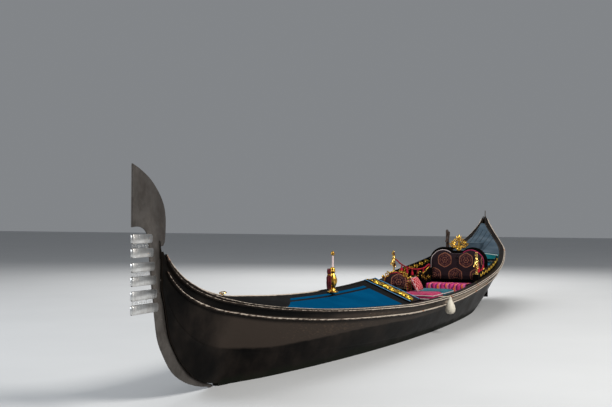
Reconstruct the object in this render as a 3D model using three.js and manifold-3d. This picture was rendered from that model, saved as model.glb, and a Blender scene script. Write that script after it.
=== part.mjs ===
// Gondola boat, millimetres. +X points to the bow, +Y to port, +Z up.
// The origin lies on the centreline at the waterline, amidships.
import * as THREE from 'three';
import { mergeVertices } from 'three/addons/utils/BufferGeometryUtils.js';
import Module from 'manifold-3d';

const wasm = await Module();
wasm.setup();

// Driving dimensions
const AMIDSHIPS = 5400;
const GAP = 0.3;
const POST_HALF = 12;
const IRON_THICK = 14;
const BOTTOM_THICK = 20;
const PLANK_THICK = 20;
const PLANK_THIN = 12.5;
const STRAKE_OUT = 20;
const STRAKE_DEEP = 20;
const LOWER_STRAKE_DROP = 72;
const LOWER_STRAKE_DEEP = 28;
const LOWER_STRAKE_OUT = 15;
const CAP_HIGH = 14;
const CAP_WIDE = 78;
const CAP_BOW_LIFT = 46;
const CAP_LIFT_END = 1.35;
const CAP_OVERHANG = 4;
const FLOOR_TOP = -22;
const FLOOR_THICK = 16;
const DECK_THICK = 16;
const COCKPIT_FORE = 4.62;
const COCKPIT_AFT = 9.1;
const DECK_SWEEP = 0.29;
const SOFA_Y = 130;
const SOFA_HALF = 430;
const SOFA_BACK_S = 8.3;
const SOFA_FRONT_S = 7.76;
const SEAT_TOP = 350;

// Hull lines. s: metres aft of the bow iron's front; the rest in millimetres.
// port, stbd: half breadth at the sheer; sheer: height of the top edge.
// lower: underside of the side planks; chineP, chineS: half breadth there.
const LINES = {
  s: [0.46, 0.50, 0.55, 0.60, 0.70, 0.834, 0.994, 1.11, 1.25, 1.6, 2.0, 2.5, 3.5, 4.5, 5.5, 6.5,
    7.5, 8.2, 8.6, 9.05, 9.4, 9.6, 10.0, 10.4, 10.7, 10.82],
  port: [27, 31, 40, 50, 68, 90, 118, 142, 176, 272, 370, 480, 630, 730, 790, 816,
    812, 784, 752, 690, 628, 578, 428, 245, 100, 42],
  stbd: [27, 31, 39, 48, 63, 83, 108, 128, 155, 216, 280, 350, 468, 550, 590, 590,
    552, 500, 448, 370, 300, 252, 172, 98, 42, 27],
  sheer: [1035, 972, 914, 868, 802, 743, 690, 659, 632, 571, 522, 474, 416, 381, 388, 430,
    500, 566, 624, 708, 780, 826, 942, 1096, 1252, 1330],
  lower: [770, 655, 470, 383, 266, 157, 74, 44, 20, -40, -82, -112, -145, -158, -160, -150,
    -127, -90, -40, 44, 142, 216, 408, 660, 930, 1100],
  chineP: [25, 25, 25, 25, 25, 25, 25, 25, 25, 122, 205, 285, 400, 475, 510, 505,
    450, 360, 272, 150, 62, 25, 25, 25, 25, 25],
  chineS: [25, 25, 25, 25, 25, 25, 25, 25, 25, 88, 150, 212, 296, 350, 376, 370,
    320, 250, 186, 102, 46, 25, 25, 25, 25, 25],
};
const STATIONS = [0.46, 0.50, 0.55, 0.62, 0.72, 0.85, 1.0, 1.12, 1.25, 1.45, 1.7, 2.0, 2.35, 2.75, 3.2, 3.7,
  4.2, 4.65, 5.2, 5.8, 6.4, 7.0, 7.6, 8.15, 8.6, 8.85, 9.1, 9.35, 9.6, 9.85, 10.1, 10.35, 10.6, 10.75,
  10.82];

// Monotone cubic through the table, so that the lines stay fair without overshoot.
function monotone(xs, ys) {
  const n = xs.length;
  const d = [];
  for (let i = 0; i < n - 1; i += 1) d.push((ys[i + 1] - ys[i]) / (xs[i + 1] - xs[i]));
  const m = [d[0]];
  for (let i = 1; i < n - 1; i += 1) {
    const h0 = xs[i] - xs[i - 1];
    const h1 = xs[i + 1] - xs[i];
    if (d[i - 1] * d[i] <= 0) m.push(0);
    else m.push((3 * (h0 + h1)) / ((2 * h1 + h0) / d[i - 1] + (h1 + 2 * h0) / d[i]));
  }
  m.push(d[n - 2]);
  return (x) => {
    let i = 0;
    while (i < n - 2 && x > xs[i + 1]) i += 1;
    const h = xs[i + 1] - xs[i];
    const t = (x - xs[i]) / h;
    const t2 = t * t;
    const t3 = t2 * t;
    return (2 * t3 - 3 * t2 + 1) * ys[i] + (t3 - 2 * t2 + t) * h * m[i]
      + (3 * t2 - 2 * t3) * ys[i + 1] + (t3 - t2) * h * m[i + 1];
  };
}

const FAIR = {};
for (const key of Object.keys(LINES)) {
  if (key !== 's') FAIR[key] = monotone(LINES.s, LINES[key]);
}

// The planks are straight between stations, so every fitted piece reads the same straight lines.
function line(key, s) {
  let i = 0;
  while (i < STATIONS.length - 2 && s > STATIONS[i + 1]) i += 1;
  const t = (s - STATIONS[i]) / (STATIONS[i + 1] - STATIONS[i]);
  return FAIR[key](STATIONS[i]) * (1 - t) + FAIR[key](STATIONS[i + 1]) * t;
}

const xAt = (s) => AMIDSHIPS - 1000 * s;

function between(from, to) {
  return [from, ...STATIONS.filter((s) => s > from + 0.02 && s < to - 0.02), to];
}

// Plank thickness: thin where the sides meet the posts.
function plank(s) {
  const full = Math.min(1, Math.max(0, Math.min((s - 1.25) / 0.45, (9.6 - s) / 0.6)));
  return PLANK_THIN + (PLANK_THICK - PLANK_THIN) * full;
}

// Outer face of the side at height z, positive half breadth; side is 'port' or 'stbd'.
function sideY(side, s, z) {
  const top = line(side, s) - STRAKE_OUT * Math.min(1, Math.max(0.1, (s - 0.5) / 1.2));
  const chine = line(side === 'port' ? 'chineP' : 'chineS', s);
  const z0 = line('lower', s);
  const z1 = line('sheer', s);
  const v = (z - z0) / (z1 - z0);
  const fullness = Math.min(26, 0.13 * Math.max(0, top - chine));
  const bulge = v > 0 && v < 1 ? 4 * fullness * v * (1 - v) : 0;
  return Math.max(chine + (top - chine) * v, chine) + bulge;
}

// Heights of the plank rows at one place: the rows fall on the edges of the rubbing strakes.
function rows(s) {
  const z0 = line('lower', s);
  const z1 = line('sheer', s);
  const a = z1 - LOWER_STRAKE_DROP - LOWER_STRAKE_DEEP;
  return [z0, z0 + (a - z0) * 0.5, a, z1 - LOWER_STRAKE_DROP, z1 - STRAKE_DEEP, z1];
}

// Half breadth of the planked side as built, straight between rows and stations.
function shellY(side, s, z) {
  let i = 0;
  while (i < STATIONS.length - 2 && s > STATIONS[i + 1]) i += 1;
  const t = (s - STATIONS[i]) / (STATIONS[i + 1] - STATIONS[i]);
  const mix = (a, b) => a * (1 - t) + b * t;
  const [ra, rb] = [rows(STATIONS[i]), rows(STATIONS[i + 1])];
  const zs = ra.map((v, k) => mix(v, rb[k]));
  const ys = ra.map((v, k) => mix(sideY(side, STATIONS[i], v), sideY(side, STATIONS[i + 1], rb[k])));
  let k = 0;
  while (k < zs.length - 2 && z > zs[k + 1]) k += 1;
  const u = Math.min(1, Math.max(0, (z - zs[k]) / (zs[k + 1] - zs[k])));
  return ys[k] * (1 - u) + ys[k + 1] * u;
}

// Geometry from rings of points: every ring is one closed outline, all of the same length.
function loft(rings) {
  const n = rings[0].length;
  const last = (rings.length - 1) * n;
  const index = [];
  for (let base = 0; base < last; base += n) {
    for (let i = 0; i < n; i += 1) {
      const a = base + i;
      const b = base + ((i + 1) % n);
      index.push(a, b, b + n, a, b + n, a + n);
    }
  }
  for (const [a, b, c] of capFaces(rings[0])) index.push(a, c, b);
  for (const face of capFaces(rings.at(-1))) index.push(...face.map((i) => last + i));
  return outward(rings.flat(2), index);
}

// Triangles that fill one ring, each turning the same way as the ring.
function capFaces(ring) {
  const normal = new THREE.Vector3();
  ring.forEach((p, i) => {
    const q = ring[(i + 1) % ring.length];
    normal.add(new THREE.Vector3(...p).cross(new THREE.Vector3(...q)));
  });
  const sizes = normal.toArray().map(Math.abs);
  const drop = sizes.indexOf(Math.max(...sizes));
  const flat = ring.map((p) => new THREE.Vector2(p[(drop + 1) % 3], p[(drop + 2) % 3]));
  const turn = THREE.ShapeUtils.area(flat);
  return THREE.ShapeUtils.triangulateShape(flat, []).map(([a, b, c]) => {
    const area = THREE.ShapeUtils.area([flat[a], flat[b], flat[c]]);
    return area * turn > 0 ? [a, b, c] : [a, c, b];
  });
}

// Turns every face round if the whole encloses a negative volume.
function outward(position, index) {
  const at = (i) => new THREE.Vector3().fromArray(position, 3 * i);
  let volume = 0;
  for (let i = 0; i < index.length; i += 3) {
    volume += at(index[i]).dot(at(index[i + 1]).cross(at(index[i + 2])));
  }
  const geometry = new THREE.BufferGeometry();
  geometry.setAttribute('position', new THREE.Float32BufferAttribute(position, 3));
  geometry.setIndex(volume < 0 ? index.reverse() : index);
  return geometry;
}

// Shapes from three.js curves
function outline(points) {
  return new THREE.Shape(points.map(([x, y]) => new THREE.Vector2(x, y)));
}

function spline(shape, points) {
  return shape.splineThru(points.map(([x, y]) => new THREE.Vector2(x, y)));
}

function roundedRectangle(wide, high, corner) {
  const [x, y] = [wide / 2 - corner, high / 2 - corner];
  return new THREE.Shape()
    .absarc(x, y, corner, 0, Math.PI / 2)
    .absarc(-x, y, corner, Math.PI / 2, Math.PI)
    .absarc(-x, -y, corner, Math.PI, Math.PI * 1.5)
    .absarc(x, -y, corner, Math.PI * 1.5, Math.PI * 2);
}

// Plate of a shape, its thickness centred on the shape's plane.
function plate(shape, thick, curveSegments = 3) {
  const geometry = new THREE.ExtrudeGeometry(shape, { depth: thick, bevelEnabled: false, curveSegments });
  return geometry.translate(0, 0, -thick / 2);
}

// Upholstered plate: its edges are rounded within the shape's outline grown by the rounding.
function pillow(shape, thick, round, curveSegments = 3) {
  const geometry = new THREE.ExtrudeGeometry(shape, {
    depth: thick - 2 * round, bevelThickness: round, bevelSize: round, bevelSegments: 2, curveSegments,
  });
  return geometry.translate(0, 0, round - thick / 2);
}

// Block given by its reach along each axis.
function slab([x0, x1], [y0, y1], [z0, z1]) {
  const geometry = new THREE.BoxGeometry(Math.abs(x1 - x0), Math.abs(y1 - y0), z1 - z0);
  return placed(geometry, [(x0 + x1) / 2, (y0 + y1) / 2, (z0 + z1) / 2]);
}

// Turned piece about an upright axis; profile rows are [radius, height], closed on the axis.
function turned(profile, sides) {
  const rows = [[0, profile[0][1]], ...profile, [0, profile.at(-1)[1]]];
  return new THREE.LatheGeometry(rows.map(([r, z]) => new THREE.Vector2(r, z)), sides);
}

// Round cord along a curve.
function cordOf(extrudePath, radius, steps) {
  const section = new THREE.Shape().absarc(0, 0, radius, 0, Math.PI * 2);
  return new THREE.ExtrudeGeometry(section, { extrudePath, steps, curveSegments: 8, bevelEnabled: false });
}

// Limb that follows points [x, z, radius] in an upright plane, offset sideways.
function limb(points, aside = 0, sides = 8) {
  return loft(points.map(([x, z, r], i) => {
    const [x0, z0] = points[Math.max(i - 1, 0)];
    const [x1, z1] = points[Math.min(i + 1, points.length - 1)];
    const long = Math.hypot(x1 - x0, z1 - z0);
    const [nx, nz] = [-(z1 - z0) / long, (x1 - x0) / long];
    return Array.from({ length: sides }, (_, k) => {
      const a = (2 * Math.PI * k) / sides;
      return [x + nx * r * Math.cos(a), aside + r * Math.sin(a), z + nz * r * Math.cos(a)];
    });
  }));
}

// The ways a flat shape or a turned profile stands in the boat
const FORE_AND_AFT = [Math.PI / 2, 0, 0];
const ATHWART = [Math.PI / 2, Math.PI / 2, 0];
const FLAT = [0, 0, 0];

function placed(geometry, position, rotation = FLAT) {
  const mesh = new THREE.Mesh(geometry);
  mesh.position.set(...position);
  mesh.rotation.set(...rotation);
  return mesh;
}

// Solids for joining and cutting, always in the boat's own frame
function solidOf(mesh) {
  mesh.updateWorldMatrix(true, false);
  const loose = mesh.geometry.clone().applyMatrix4(mesh.matrixWorld);
  loose.deleteAttribute('normal');
  loose.deleteAttribute('uv');
  const merged = mergeVertices(loose);
  return new wasm.Manifold(new wasm.Mesh({
    numProp: 3,
    vertProperties: Float32Array.from(merged.attributes.position.array),
    triVerts: Uint32Array.from(merged.index.array),
  }));
}

function geometryOf(solid) {
  const { vertProperties, triVerts } = solid.getMesh();
  const geometry = new THREE.BufferGeometry();
  geometry.setAttribute('position', new THREE.Float32BufferAttribute(vertProperties, 3));
  geometry.setIndex(Array.from(triVerts));
  return geometry;
}

function joined(...meshes) {
  return geometryOf(meshes.map(solidOf).reduce((whole, solid) => whole.add(solid)));
}

function recut(mesh, change) {
  const solid = change(solidOf(mesh));
  mesh.geometry = geometryOf(solid).applyMatrix4(mesh.matrixWorld.clone().invert());
  return mesh;
}

// The boat and its groups
const boat = new THREE.Group();

function groupAt(x, y, z) {
  const group = new THREE.Group();
  group.position.set(x, y, z);
  boat.add(group);
  return group;
}

const LOOKS = {
  hull: { color: 0x17120f, roughness: 0.25, metalness: 0 },
  trim: { color: 0x2a211b, roughness: 0.4, metalness: 0 },
  wood: { color: 0x6f4a2a, roughness: 0.55, metalness: 0 },
  blue: { color: 0x004b73, roughness: 0.3, metalness: 0 },
  teal: { color: 0x1f7f83, roughness: 0.4, metalness: 0 },
  slate: { color: 0x47525c, roughness: 0.3, metalness: 0 },
  walnut: { color: 0x5a3a22, roughness: 0.4, metalness: 0 },
  iron: { color: 0x55504a, roughness: 0.35, metalness: 1 },
  gilt: { color: 0xc9962c, roughness: 0.3, metalness: 1 },
  brocade: { color: 0x3d1620, roughness: 0.8, metalness: 0 },
  crimson: { color: 0xa3112c, roughness: 0.8, metalness: 0 },
  pink: { color: 0xc2417c, roughness: 0.85, metalness: 0 },
  white: { color: 0xe8e6df, roughness: 0.5, metalness: 0 },
};

function part(name, look, geometry, { parent = boat, position = [0, 0, 0], rotation = FLAT } = {}) {
  const mesh = placed(geometry, position, rotation);
  mesh.material = new THREE.MeshStandardMaterial(LOOKS[look]);
  mesh.name = name;
  parent.add(mesh);
  return mesh;
}

const SIDES = [
  { side: 'port', tag: 'port', sign: 1 },
  { side: 'stbd', tag: 'starboard', sign: -1 },
];

// Side planking: one shell a side. The rows fall on the edges of the rubbing strakes.
function sideShell({ side, sign }) {
  return loft(STATIONS.map((s) => {
    const outer = rows(s).map((z) => [xAt(s), sign * sideY(side, s, z), z]);
    const inner = rows(s).map((z) => [xAt(s), sign * (sideY(side, s, z) - plank(s)), z]).reverse();
    return [...outer, ...inner];
  }));
}

// A strip laid on the outside of the planks between two rows of the shell.
const STRAKE_CHAMFER = 5;
function strake({ side, sign }, { low, high, out, from, to }) {
  return loft(between(from, to).map((s) => {
    const [z0, z1] = [rows(s)[low], rows(s)[high]];
    const [y0, y1] = [sideY(side, s, z0), sideY(side, s, z1)];
    return [
      [xAt(s), sign * (y0 + GAP), z0],
      [xAt(s), sign * (y1 + GAP), z1],
      [xAt(s), sign * (y1 + out), z1 - STRAKE_CHAMFER],
      [xAt(s), sign * (y0 + out), z0 + STRAKE_CHAMFER],
    ];
  }));
}
const UPPER_STRAKE = { low: 4, high: 5, out: STRAKE_OUT, from: 0.50, to: 10.75 };
const LOWER_STRAKE = { low: 2, high: 3, out: LOWER_STRAKE_OUT, from: 0.62, to: 9.85 };

// Covering board on the sheer: it hides the plank edge and reaches inboard.
function capInner(side, s) {
  const y = sideY(side, s, line('sheer', s));
  return y - Math.min(CAP_WIDE, 0.6 * y);
}

function coveringBoard({ side, sign }) {
  return loft(between(0.50, 10.75).map((s) => {
    const z = line('sheer', s);
    const y = sideY(side, s, z);
    const high = CAP_HIGH + CAP_BOW_LIFT * Math.max(0, 1 - s / CAP_LIFT_END);
    return [
      [xAt(s), sign * (y + CAP_OVERHANG), z + GAP],
      [xAt(s), sign * (y + CAP_OVERHANG), z + high * 0.7],
      [xAt(s), sign * (y - CAP_OVERHANG), z + high],
      [xAt(s), sign * capInner(side, s), z + high],
      [xAt(s), sign * capInner(side, s), z + GAP],
    ];
  }));
}

for (const end of SIDES) {
  part(`side_${end.tag}`, 'hull', sideShell(end));
  part(`rub_strake_upper_${end.tag}`, 'trim', strake(end, UPPER_STRAKE));
  part(`rub_strake_lower_${end.tag}`, 'trim', strake(end, LOWER_STRAKE));
  part(`covering_board_${end.tag}`, 'trim', coveringBoard(end));
}

// Flat rockered bottom between the chines.
const BOTTOM_FROM = 1.25;
const BOTTOM_TO = 9.6;
part('bottom', 'hull', loft(between(BOTTOM_FROM, BOTTOM_TO).map((s) => {
  const z = line('lower', s) - GAP;
  const p = line('chineP', s);
  const q = -line('chineS', s);
  return [[xAt(s), p, z], [xAt(s), q, z], [xAt(s), q, z - BOTTOM_THICK], [xAt(s), p, z - BOTTOM_THICK]];
})));

// Stem and stern post: plates between the plank ends, with the irons laid on their outer edges.
// Rows: s and height of the outer edge, the direction inwards, and the width of the iron there.
const STEM = [
  { s: 0.4615, z: 1026, ds: 1, dz: -1.62, iron: 0 },
  { s: 0.4575, z: 785, ds: 1, dz: 0.05, iron: 92 },
  { s: 0.499, z: 664, ds: 0.96, dz: 0.2, iron: 114 },
  { s: 0.5425, z: 497, ds: 0.93, dz: 0.36, iron: 120 },
  { s: 0.5955, z: 392, ds: 0.86, dz: 0.5, iron: 112 },
  { s: 0.7015, z: 268, ds: 0.74, dz: 0.67, iron: 108 },
  { s: 0.8355, z: 159, ds: 0.58, dz: 0.81, iron: 74 },
  { s: 0.995, z: 76.5, ds: 0.34, dz: 0.94, iron: 40 },
  { s: 1.11, z: 45, ds: 0.2, dz: 0.97, iron: 29 },
  { s: 1.2485, z: 21.5, ds: 0.12, dz: 0.99, iron: 0 },
];
const STERN = [
  { s: 9.6015, z: 217, ds: -0.3, dz: 0.95 },
  { s: 9.85, z: 332, ds: -0.45, dz: 0.89 },
  { s: 10.1, z: 466, ds: -0.55, dz: 0.83 },
  { s: 10.35, z: 626, ds: -0.64, dz: 0.77 },
  { s: 10.6, z: 834, ds: -0.74, dz: 0.67 },
  { s: 10.75, z: 995, ds: -0.82, dz: 0.57 },
  { s: 10.82, z: 1100, ds: -0.9, dz: 0.4 },
  { s: 10.855, z: 1322, ds: -1, dz: -1.0 },
];
const STEM_DEPTH = 85;
const STERN_DEPTH = 80;
const inwards = ({ s, z, ds, dz }, far) => [xAt(s) - far * ds, z + far * dz];

function post(path, depth) {
  const outer = path.map((row) => inwards(row, 0));
  const inner = path.map((row) => inwards(row, depth)).reverse();
  return plate(outline([...outer, ...inner]), 2 * POST_HALF);
}
part('stem', 'hull', post(STEM, STEM_DEPTH), { rotation: FORE_AND_AFT });
part('stern_post', 'hull', post(STERN, STERN_DEPTH), { rotation: FORE_AND_AFT });

// Ribs: a floor timber and two side timbers at each place, with a keelson and two stringers.
const RIBS = [4.9, 5.35, 5.8, 6.25, 6.7, 7.15, 7.6, 8.05, 8.5, 8.92];
const RIB_WIDE = 34;
const RIB_DEEP = 28;
const RIB_OFF = 5.2;
const RIB_FOOT = 6;
const TIMBER_LIFT = 1.5;
const STRINGER = { from: 4.84, to: 8.98, drop: 62, high: 26, outer: 5, inner: 22 };
const KEELSON = { from: 4.72, to: 9.02, port: 55, starboard: -25, high: 26, below: 4 };

const insidePlank = (side, s, z, off) => shellY(side, s, z) - plank(s) - off;

function timberTop(s) {
  return Math.max(FLOOR_TOP - FLOOR_THICK - GAP, line('lower', s) + TIMBER_LIFT + RIB_DEEP);
}

function floorTimber(s) {
  const low = line('lower', s) + TIMBER_LIFT;
  const knee = rows(s)[0] + RIB_FOOT;
  const [port, stbd] = ['port', 'stbd'].map((side) => [
    [insidePlank(side, s, knee, RIB_OFF) - 14, low],
    [insidePlank(side, s, knee, RIB_OFF), knee],
    [insidePlank(side, s, timberTop(s), RIB_OFF), timberTop(s)],
  ]);
  return [...port, ...stbd.reverse().map(([y, z]) => [-y, z])].map(([y, z]) => [xAt(s), y, z]);
}

function sideTimber({ side, sign }, s) {
  const [, bilge, middle, , , sheer] = rows(s);
  const heights = [timberTop(s) + GAP, bilge, middle, sheer - 4];
  const face = heights.map((z) => [xAt(s), sign * insidePlank(side, s, z, RIB_OFF), z]);
  const back = heights.map((z) => [xAt(s), sign * insidePlank(side, s, z, RIB_OFF + RIB_DEEP), z]);
  return [...face, ...back.reverse()];
}

function stringer({ side, sign }) {
  return loft(between(STRINGER.from, STRINGER.to).map((s) => {
    const z = line('sheer', s) - STRINGER.drop;
    const corner = (off, up) => [xAt(s), sign * insidePlank(side, s, z + up, RIB_OFF + off), z + up];
    return [
      corner(STRINGER.outer, 0), corner(STRINGER.outer, STRINGER.high),
      corner(STRINGER.inner, STRINGER.high), corner(STRINGER.inner, 0),
    ];
  }));
}

const keelson = loft(between(KEELSON.from, KEELSON.to).map((s) => {
  const z = line('lower', s) + TIMBER_LIFT;
  const top = Math.max(FLOOR_TOP - FLOOR_THICK - GAP - KEELSON.below, z + KEELSON.high);
  const { port, starboard } = KEELSON;
  return [[xAt(s), port, z], [xAt(s), port, top], [xAt(s), starboard, top], [xAt(s), starboard, z]];
}));
const atRibs = (section) => RIBS.map((s) => new THREE.Mesh(
  loft([section(s - RIB_WIDE / 2000), section(s + RIB_WIDE / 2000)]),
));
part('floor_timbers', 'wood', joined(new THREE.Mesh(keelson), ...atRibs(floorTimber)));
for (const end of SIDES) {
  const timbers = atRibs((s) => sideTimber(end, s));
  part(`ribs_${end.tag}`, 'wood', joined(new THREE.Mesh(stringer(end)), ...timbers));
}

// Floor boards: long boards on battens, flat on the floor timbers.
const FLOOR = {
  from: 4.8, to: 8.2, first: -232, wide: 108, pitch: 116, count: 5, battens: [5.1, 6.5, 7.85],
};
const floorPieces = [];
const boardX = [xAt(FLOOR.to), xAt(FLOOR.from)];
const boardZ = [FLOOR_TOP - FLOOR_THICK, FLOOR_TOP];
for (let i = 0; i < FLOOR.count; i += 1) {
  const y = FLOOR.first + i * FLOOR.pitch;
  floorPieces.push(slab(boardX, [y, y + FLOOR.wide], boardZ));
}
const battenY = [FLOOR.first + 4, FLOOR.first + (FLOOR.count - 1) * FLOOR.pitch + FLOOR.wide - 4];
for (const s of FLOOR.battens) {
  floorPieces.push(slab([xAt(s) - 30, xAt(s) + 30], battenY, [FLOOR_TOP - FLOOR_THICK + 3, FLOOR_TOP - 4]));
}
part('floor_boards', 'wood', joined(...floorPieces));

// Fore deck: two slopes from the ridge down to the covering boards, ending in a chevron.
const RIDGE = {
  s: [0.62, 0.80, 1.0, 1.3, 1.63, 2.05, 2.3, 2.85, 3.4, 4.14, 4.64, 5.05],
  z: [900, 810, 744, 675, 646, 613, 597, 578, 567, 573, 588, 600],
};
const ridgeZ = monotone(RIDGE.s, RIDGE.z);
const DECK_FROM = 0.74;
const DECK_TO = COCKPIT_FORE - 0.012;
const SWEEP_FROM = 1.2;
const RIDGE_GAP = 14;

const deckEdge = (side, s) => capInner(side, s) - 1;
const deckEdgeZ = (s) => line('sheer', s) + CAP_HIGH / 2;

// Sections run along the slope: s is the place at the ridge, and the edge lags forward.
function deckSlope({ side, sign }) {
  return loft(between(DECK_FROM, DECK_TO).map((s) => {
    const e = s - DECK_SWEEP * Math.max(0, (s - SWEEP_FROM) / (DECK_TO - SWEEP_FROM));
    const y = deckEdge(side, e);
    const ridge = ridgeZ(s);
    const edge = Math.min(deckEdgeZ(e), ridge - 1);
    return [
      [xAt(s), sign * RIDGE_GAP, ridge],
      [xAt(e), sign * y, edge],
      [xAt(e), sign * y, edge - DECK_THICK],
      [xAt(s), sign * RIDGE_GAP, ridge - DECK_THICK],
    ];
  }));
}
for (const end of SIDES) part(`foredeck_${end.tag}`, 'blue', deckSlope(end));

// Ridge cap along the middle of the fore deck; profile rows are y and the height over the ridge line.
const RIDGE_CAP = [[13.5, -20], [13.5, 1], [7, 9], [-7, 9], [-13.5, 1], [-13.5, -20]];
part('foredeck_ridge', 'trim', loft([DECK_FROM, 0.85, 1.0, 1.3, 1.8, 2.6, 3.4, 4.14, DECK_TO].map(
  (s) => RIDGE_CAP.map(([y, up]) => [xAt(s), y, ridgeZ(s) + up]),
)));

// Cross board at the head of the cockpit: a broad carved chevron over the deck's end.
const CROSS = { wide: 0.385, thick: 26, gap: 0.004, sink: 14 };
function crossBoard() {
  const middle = COCKPIT_FORE + CROSS.gap;
  const end = COCKPIT_FORE - DECK_SWEEP + CROSS.gap;
  const section = (y, s, z) => [
    [xAt(s), y, z], [xAt(s), y, z + CROSS.thick],
    [xAt(s + CROSS.wide), y, z + CROSS.thick], [xAt(s + CROSS.wide), y, z],
  ];
  const low = deckEdgeZ(end) - CROSS.sink;
  return loft([
    section(deckEdge('port', end) - 2, end, low),
    section(0, middle, ridgeZ(middle) - CROSS.sink),
    section(2 - deckEdge('stbd', end), end, low),
  ]);
}
part('foredeck_cross_board', 'trim', crossBoard());

// Bulkheads: one below the fore deck's end, one that closes the stern compartment.
const BULKHEAD_THICK = 18;
function bulkhead(s, shoulder, crown) {
  const [, bilge, middle] = rows(s);
  const heights = [line('lower', s) + 2, bilge, middle, shoulder];
  const port = heights.map((z) => [insidePlank('port', s, z, 4), z]);
  const stbd = heights.map((z) => [-insidePlank('stbd', s, z, 4), z]).reverse();
  return plate(outline([...port, [0, crown], ...stbd]), BULKHEAD_THICK);
}
const FORE_BULKHEAD = { s: 4.5, drop: 40, crown: DECK_THICK + 34 };
const AFT_BULKHEAD = { s: 9.2, drop: 20 };
const foreShoulder = line('sheer', FORE_BULKHEAD.s) - FORE_BULKHEAD.drop;
const foreCrown = ridgeZ(FORE_BULKHEAD.s) - FORE_BULKHEAD.crown;
part('bulkhead_fore', 'hull', bulkhead(FORE_BULKHEAD.s, foreShoulder, foreCrown), {
  position: [xAt(FORE_BULKHEAD.s) + BULKHEAD_THICK / 2, 0, 0], rotation: ATHWART,
});
const aftHead = line('sheer', AFT_BULKHEAD.s) - AFT_BULKHEAD.drop;
part('bulkhead_aft', 'teal', bulkhead(AFT_BULKHEAD.s, aftHead, aftHead), {
  position: [xAt(AFT_BULKHEAD.s) + BULKHEAD_THICK / 2, 0, 0], rotation: ATHWART,
});

// Aft deck: cambered boards from the cockpit to the stern.
const AFT_CAMBER = 34;
const AFT_DECK_TO = 10.6;
const camber = (s) => AFT_CAMBER * Math.min(1, deckEdge('port', s) / 400);
function aftSection(s) {
  const [p, q, c] = [deckEdge('port', s), -deckEdge('stbd', s), camber(s)];
  const profile = [
    [p, 0], [p / 2, c], [0, 1.3 * c], [q / 2, c], [q, 0],
    [q, -DECK_THICK], [0, c - DECK_THICK], [p, -DECK_THICK],
  ];
  return profile.map(([y, up]) => [xAt(s), y, deckEdgeZ(s) + up]);
}
part('aft_deck', 'slate', loft(between(COCKPIT_AFT + 0.035, AFT_DECK_TO).map(aftSection)));

// Board across the front edge of the aft deck.
const FRONT_BOARD = { thick: 0.034, drop: 50, shoulder: 20, haunch: 54, crown: 62 };
part('aft_deck_front', 'teal', loft([COCKPIT_AFT, COCKPIT_AFT + FRONT_BOARD.thick].map((s) => {
  const [p, q] = [deckEdge('port', s), -deckEdge('stbd', s)];
  const { drop, shoulder, haunch, crown } = FRONT_BOARD;
  const profile = [
    [p, -drop], [p, shoulder], [p / 2, haunch], [0, crown], [q / 2, haunch], [q, shoulder], [q, -drop],
  ];
  return profile.map(([y, up]) => [xAt(s), y, line('sheer', s) + up]);
})));

// Rower's step on the aft deck, level on top.
const STEP = { from: 9.32, to: 9.62, starboard: -40, port: 250, top: 906 };
part('gondolier_step', 'slate', loft([STEP.from, STEP.to].map((s) => {
  const foot = deckEdgeZ(s) + 1.35 * camber(s) + 3;
  return [
    [xAt(s), STEP.starboard, foot], [xAt(s), STEP.port, foot], [xAt(s), STEP.port, STEP.top],
    [xAt(s), STEP.starboard, STEP.top],
  ];
})));

// Bow iron: a broad blade, its neck, six teeth, and the band that runs down the stem.
const TEETH = {
  count: 6, front: 0.12, top: 1154, pitch: 92.2, high: 60, thick: 18, root: 0.34, step: 0.0155, ease: 4,
};
const BLADE_BACK = [
  [0.201, 1.582], [0.311, 1.530], [0.381, 1.480], [0.452, 1.412], [0.499, 1.340], [0.518, 1.270],
  [0.521, 1.215], [0.518, 1.151], [0.510, 1.095],
];
const BLADE_HEEL = [[0.492, 1.072], [0.4605, 1.068]];
const NECK = [[0.380, 0.700], [0.352, 0.850], [0.328, 1.000], [0.318, 1.090], [0.299, 1.154]];
const BLADE_UNDER = [[0.278, 1.175], [0.252, 1.190], [0.215, 1.201], [0.170, 1.204], [0.117, 1.200]];
const BLADE_TIP = [0.117, 1.611];
const BAND_GAP = -1.1;
const BAND_TIP = [[1.215, 0.012], [1.161, 0.002]];
const metres = ([s, z]) => [xAt(s), 1000 * z];

function ironShape() {
  const shape = new THREE.Shape().moveTo(...metres(BLADE_TIP));
  spline(shape, BLADE_BACK.map(metres));
  for (const point of BLADE_HEEL) shape.lineTo(...metres(point));
  for (const row of STEM.slice(1, -1)) shape.lineTo(...inwards(row, BAND_GAP));
  for (const point of BAND_TIP) shape.lineTo(...metres(point));
  for (const row of STEM.slice(2, -1).reverse()) shape.lineTo(...inwards(row, -row.iron));
  shape.lineTo(...metres(NECK[0]));
  spline(shape, NECK.slice(1).map(metres));
  return spline(shape, BLADE_UNDER.map(metres));
}

function tooth(i) {
  const top = TEETH.top - i * TEETH.pitch;
  const [front, root] = [xAt(TEETH.front), xAt(TEETH.root + TEETH.step * i)];
  const { high, ease, thick } = TEETH;
  return placed(plate(outline([
    [front, top - high + ease], [front, top - ease], [front - ease, top],
    [root, top], [root, top - high], [front - ease, top - high],
  ]), thick), [0, 0, 0], FORE_AND_AFT);
}
const teeth = Array.from({ length: TEETH.count }, (_, i) => tooth(i));
const blade = placed(plate(ironShape(), IRON_THICK, 2), [0, 0, 0], FORE_AND_AFT);
part('bow_iron', 'iron', joined(blade, ...teeth));

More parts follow.
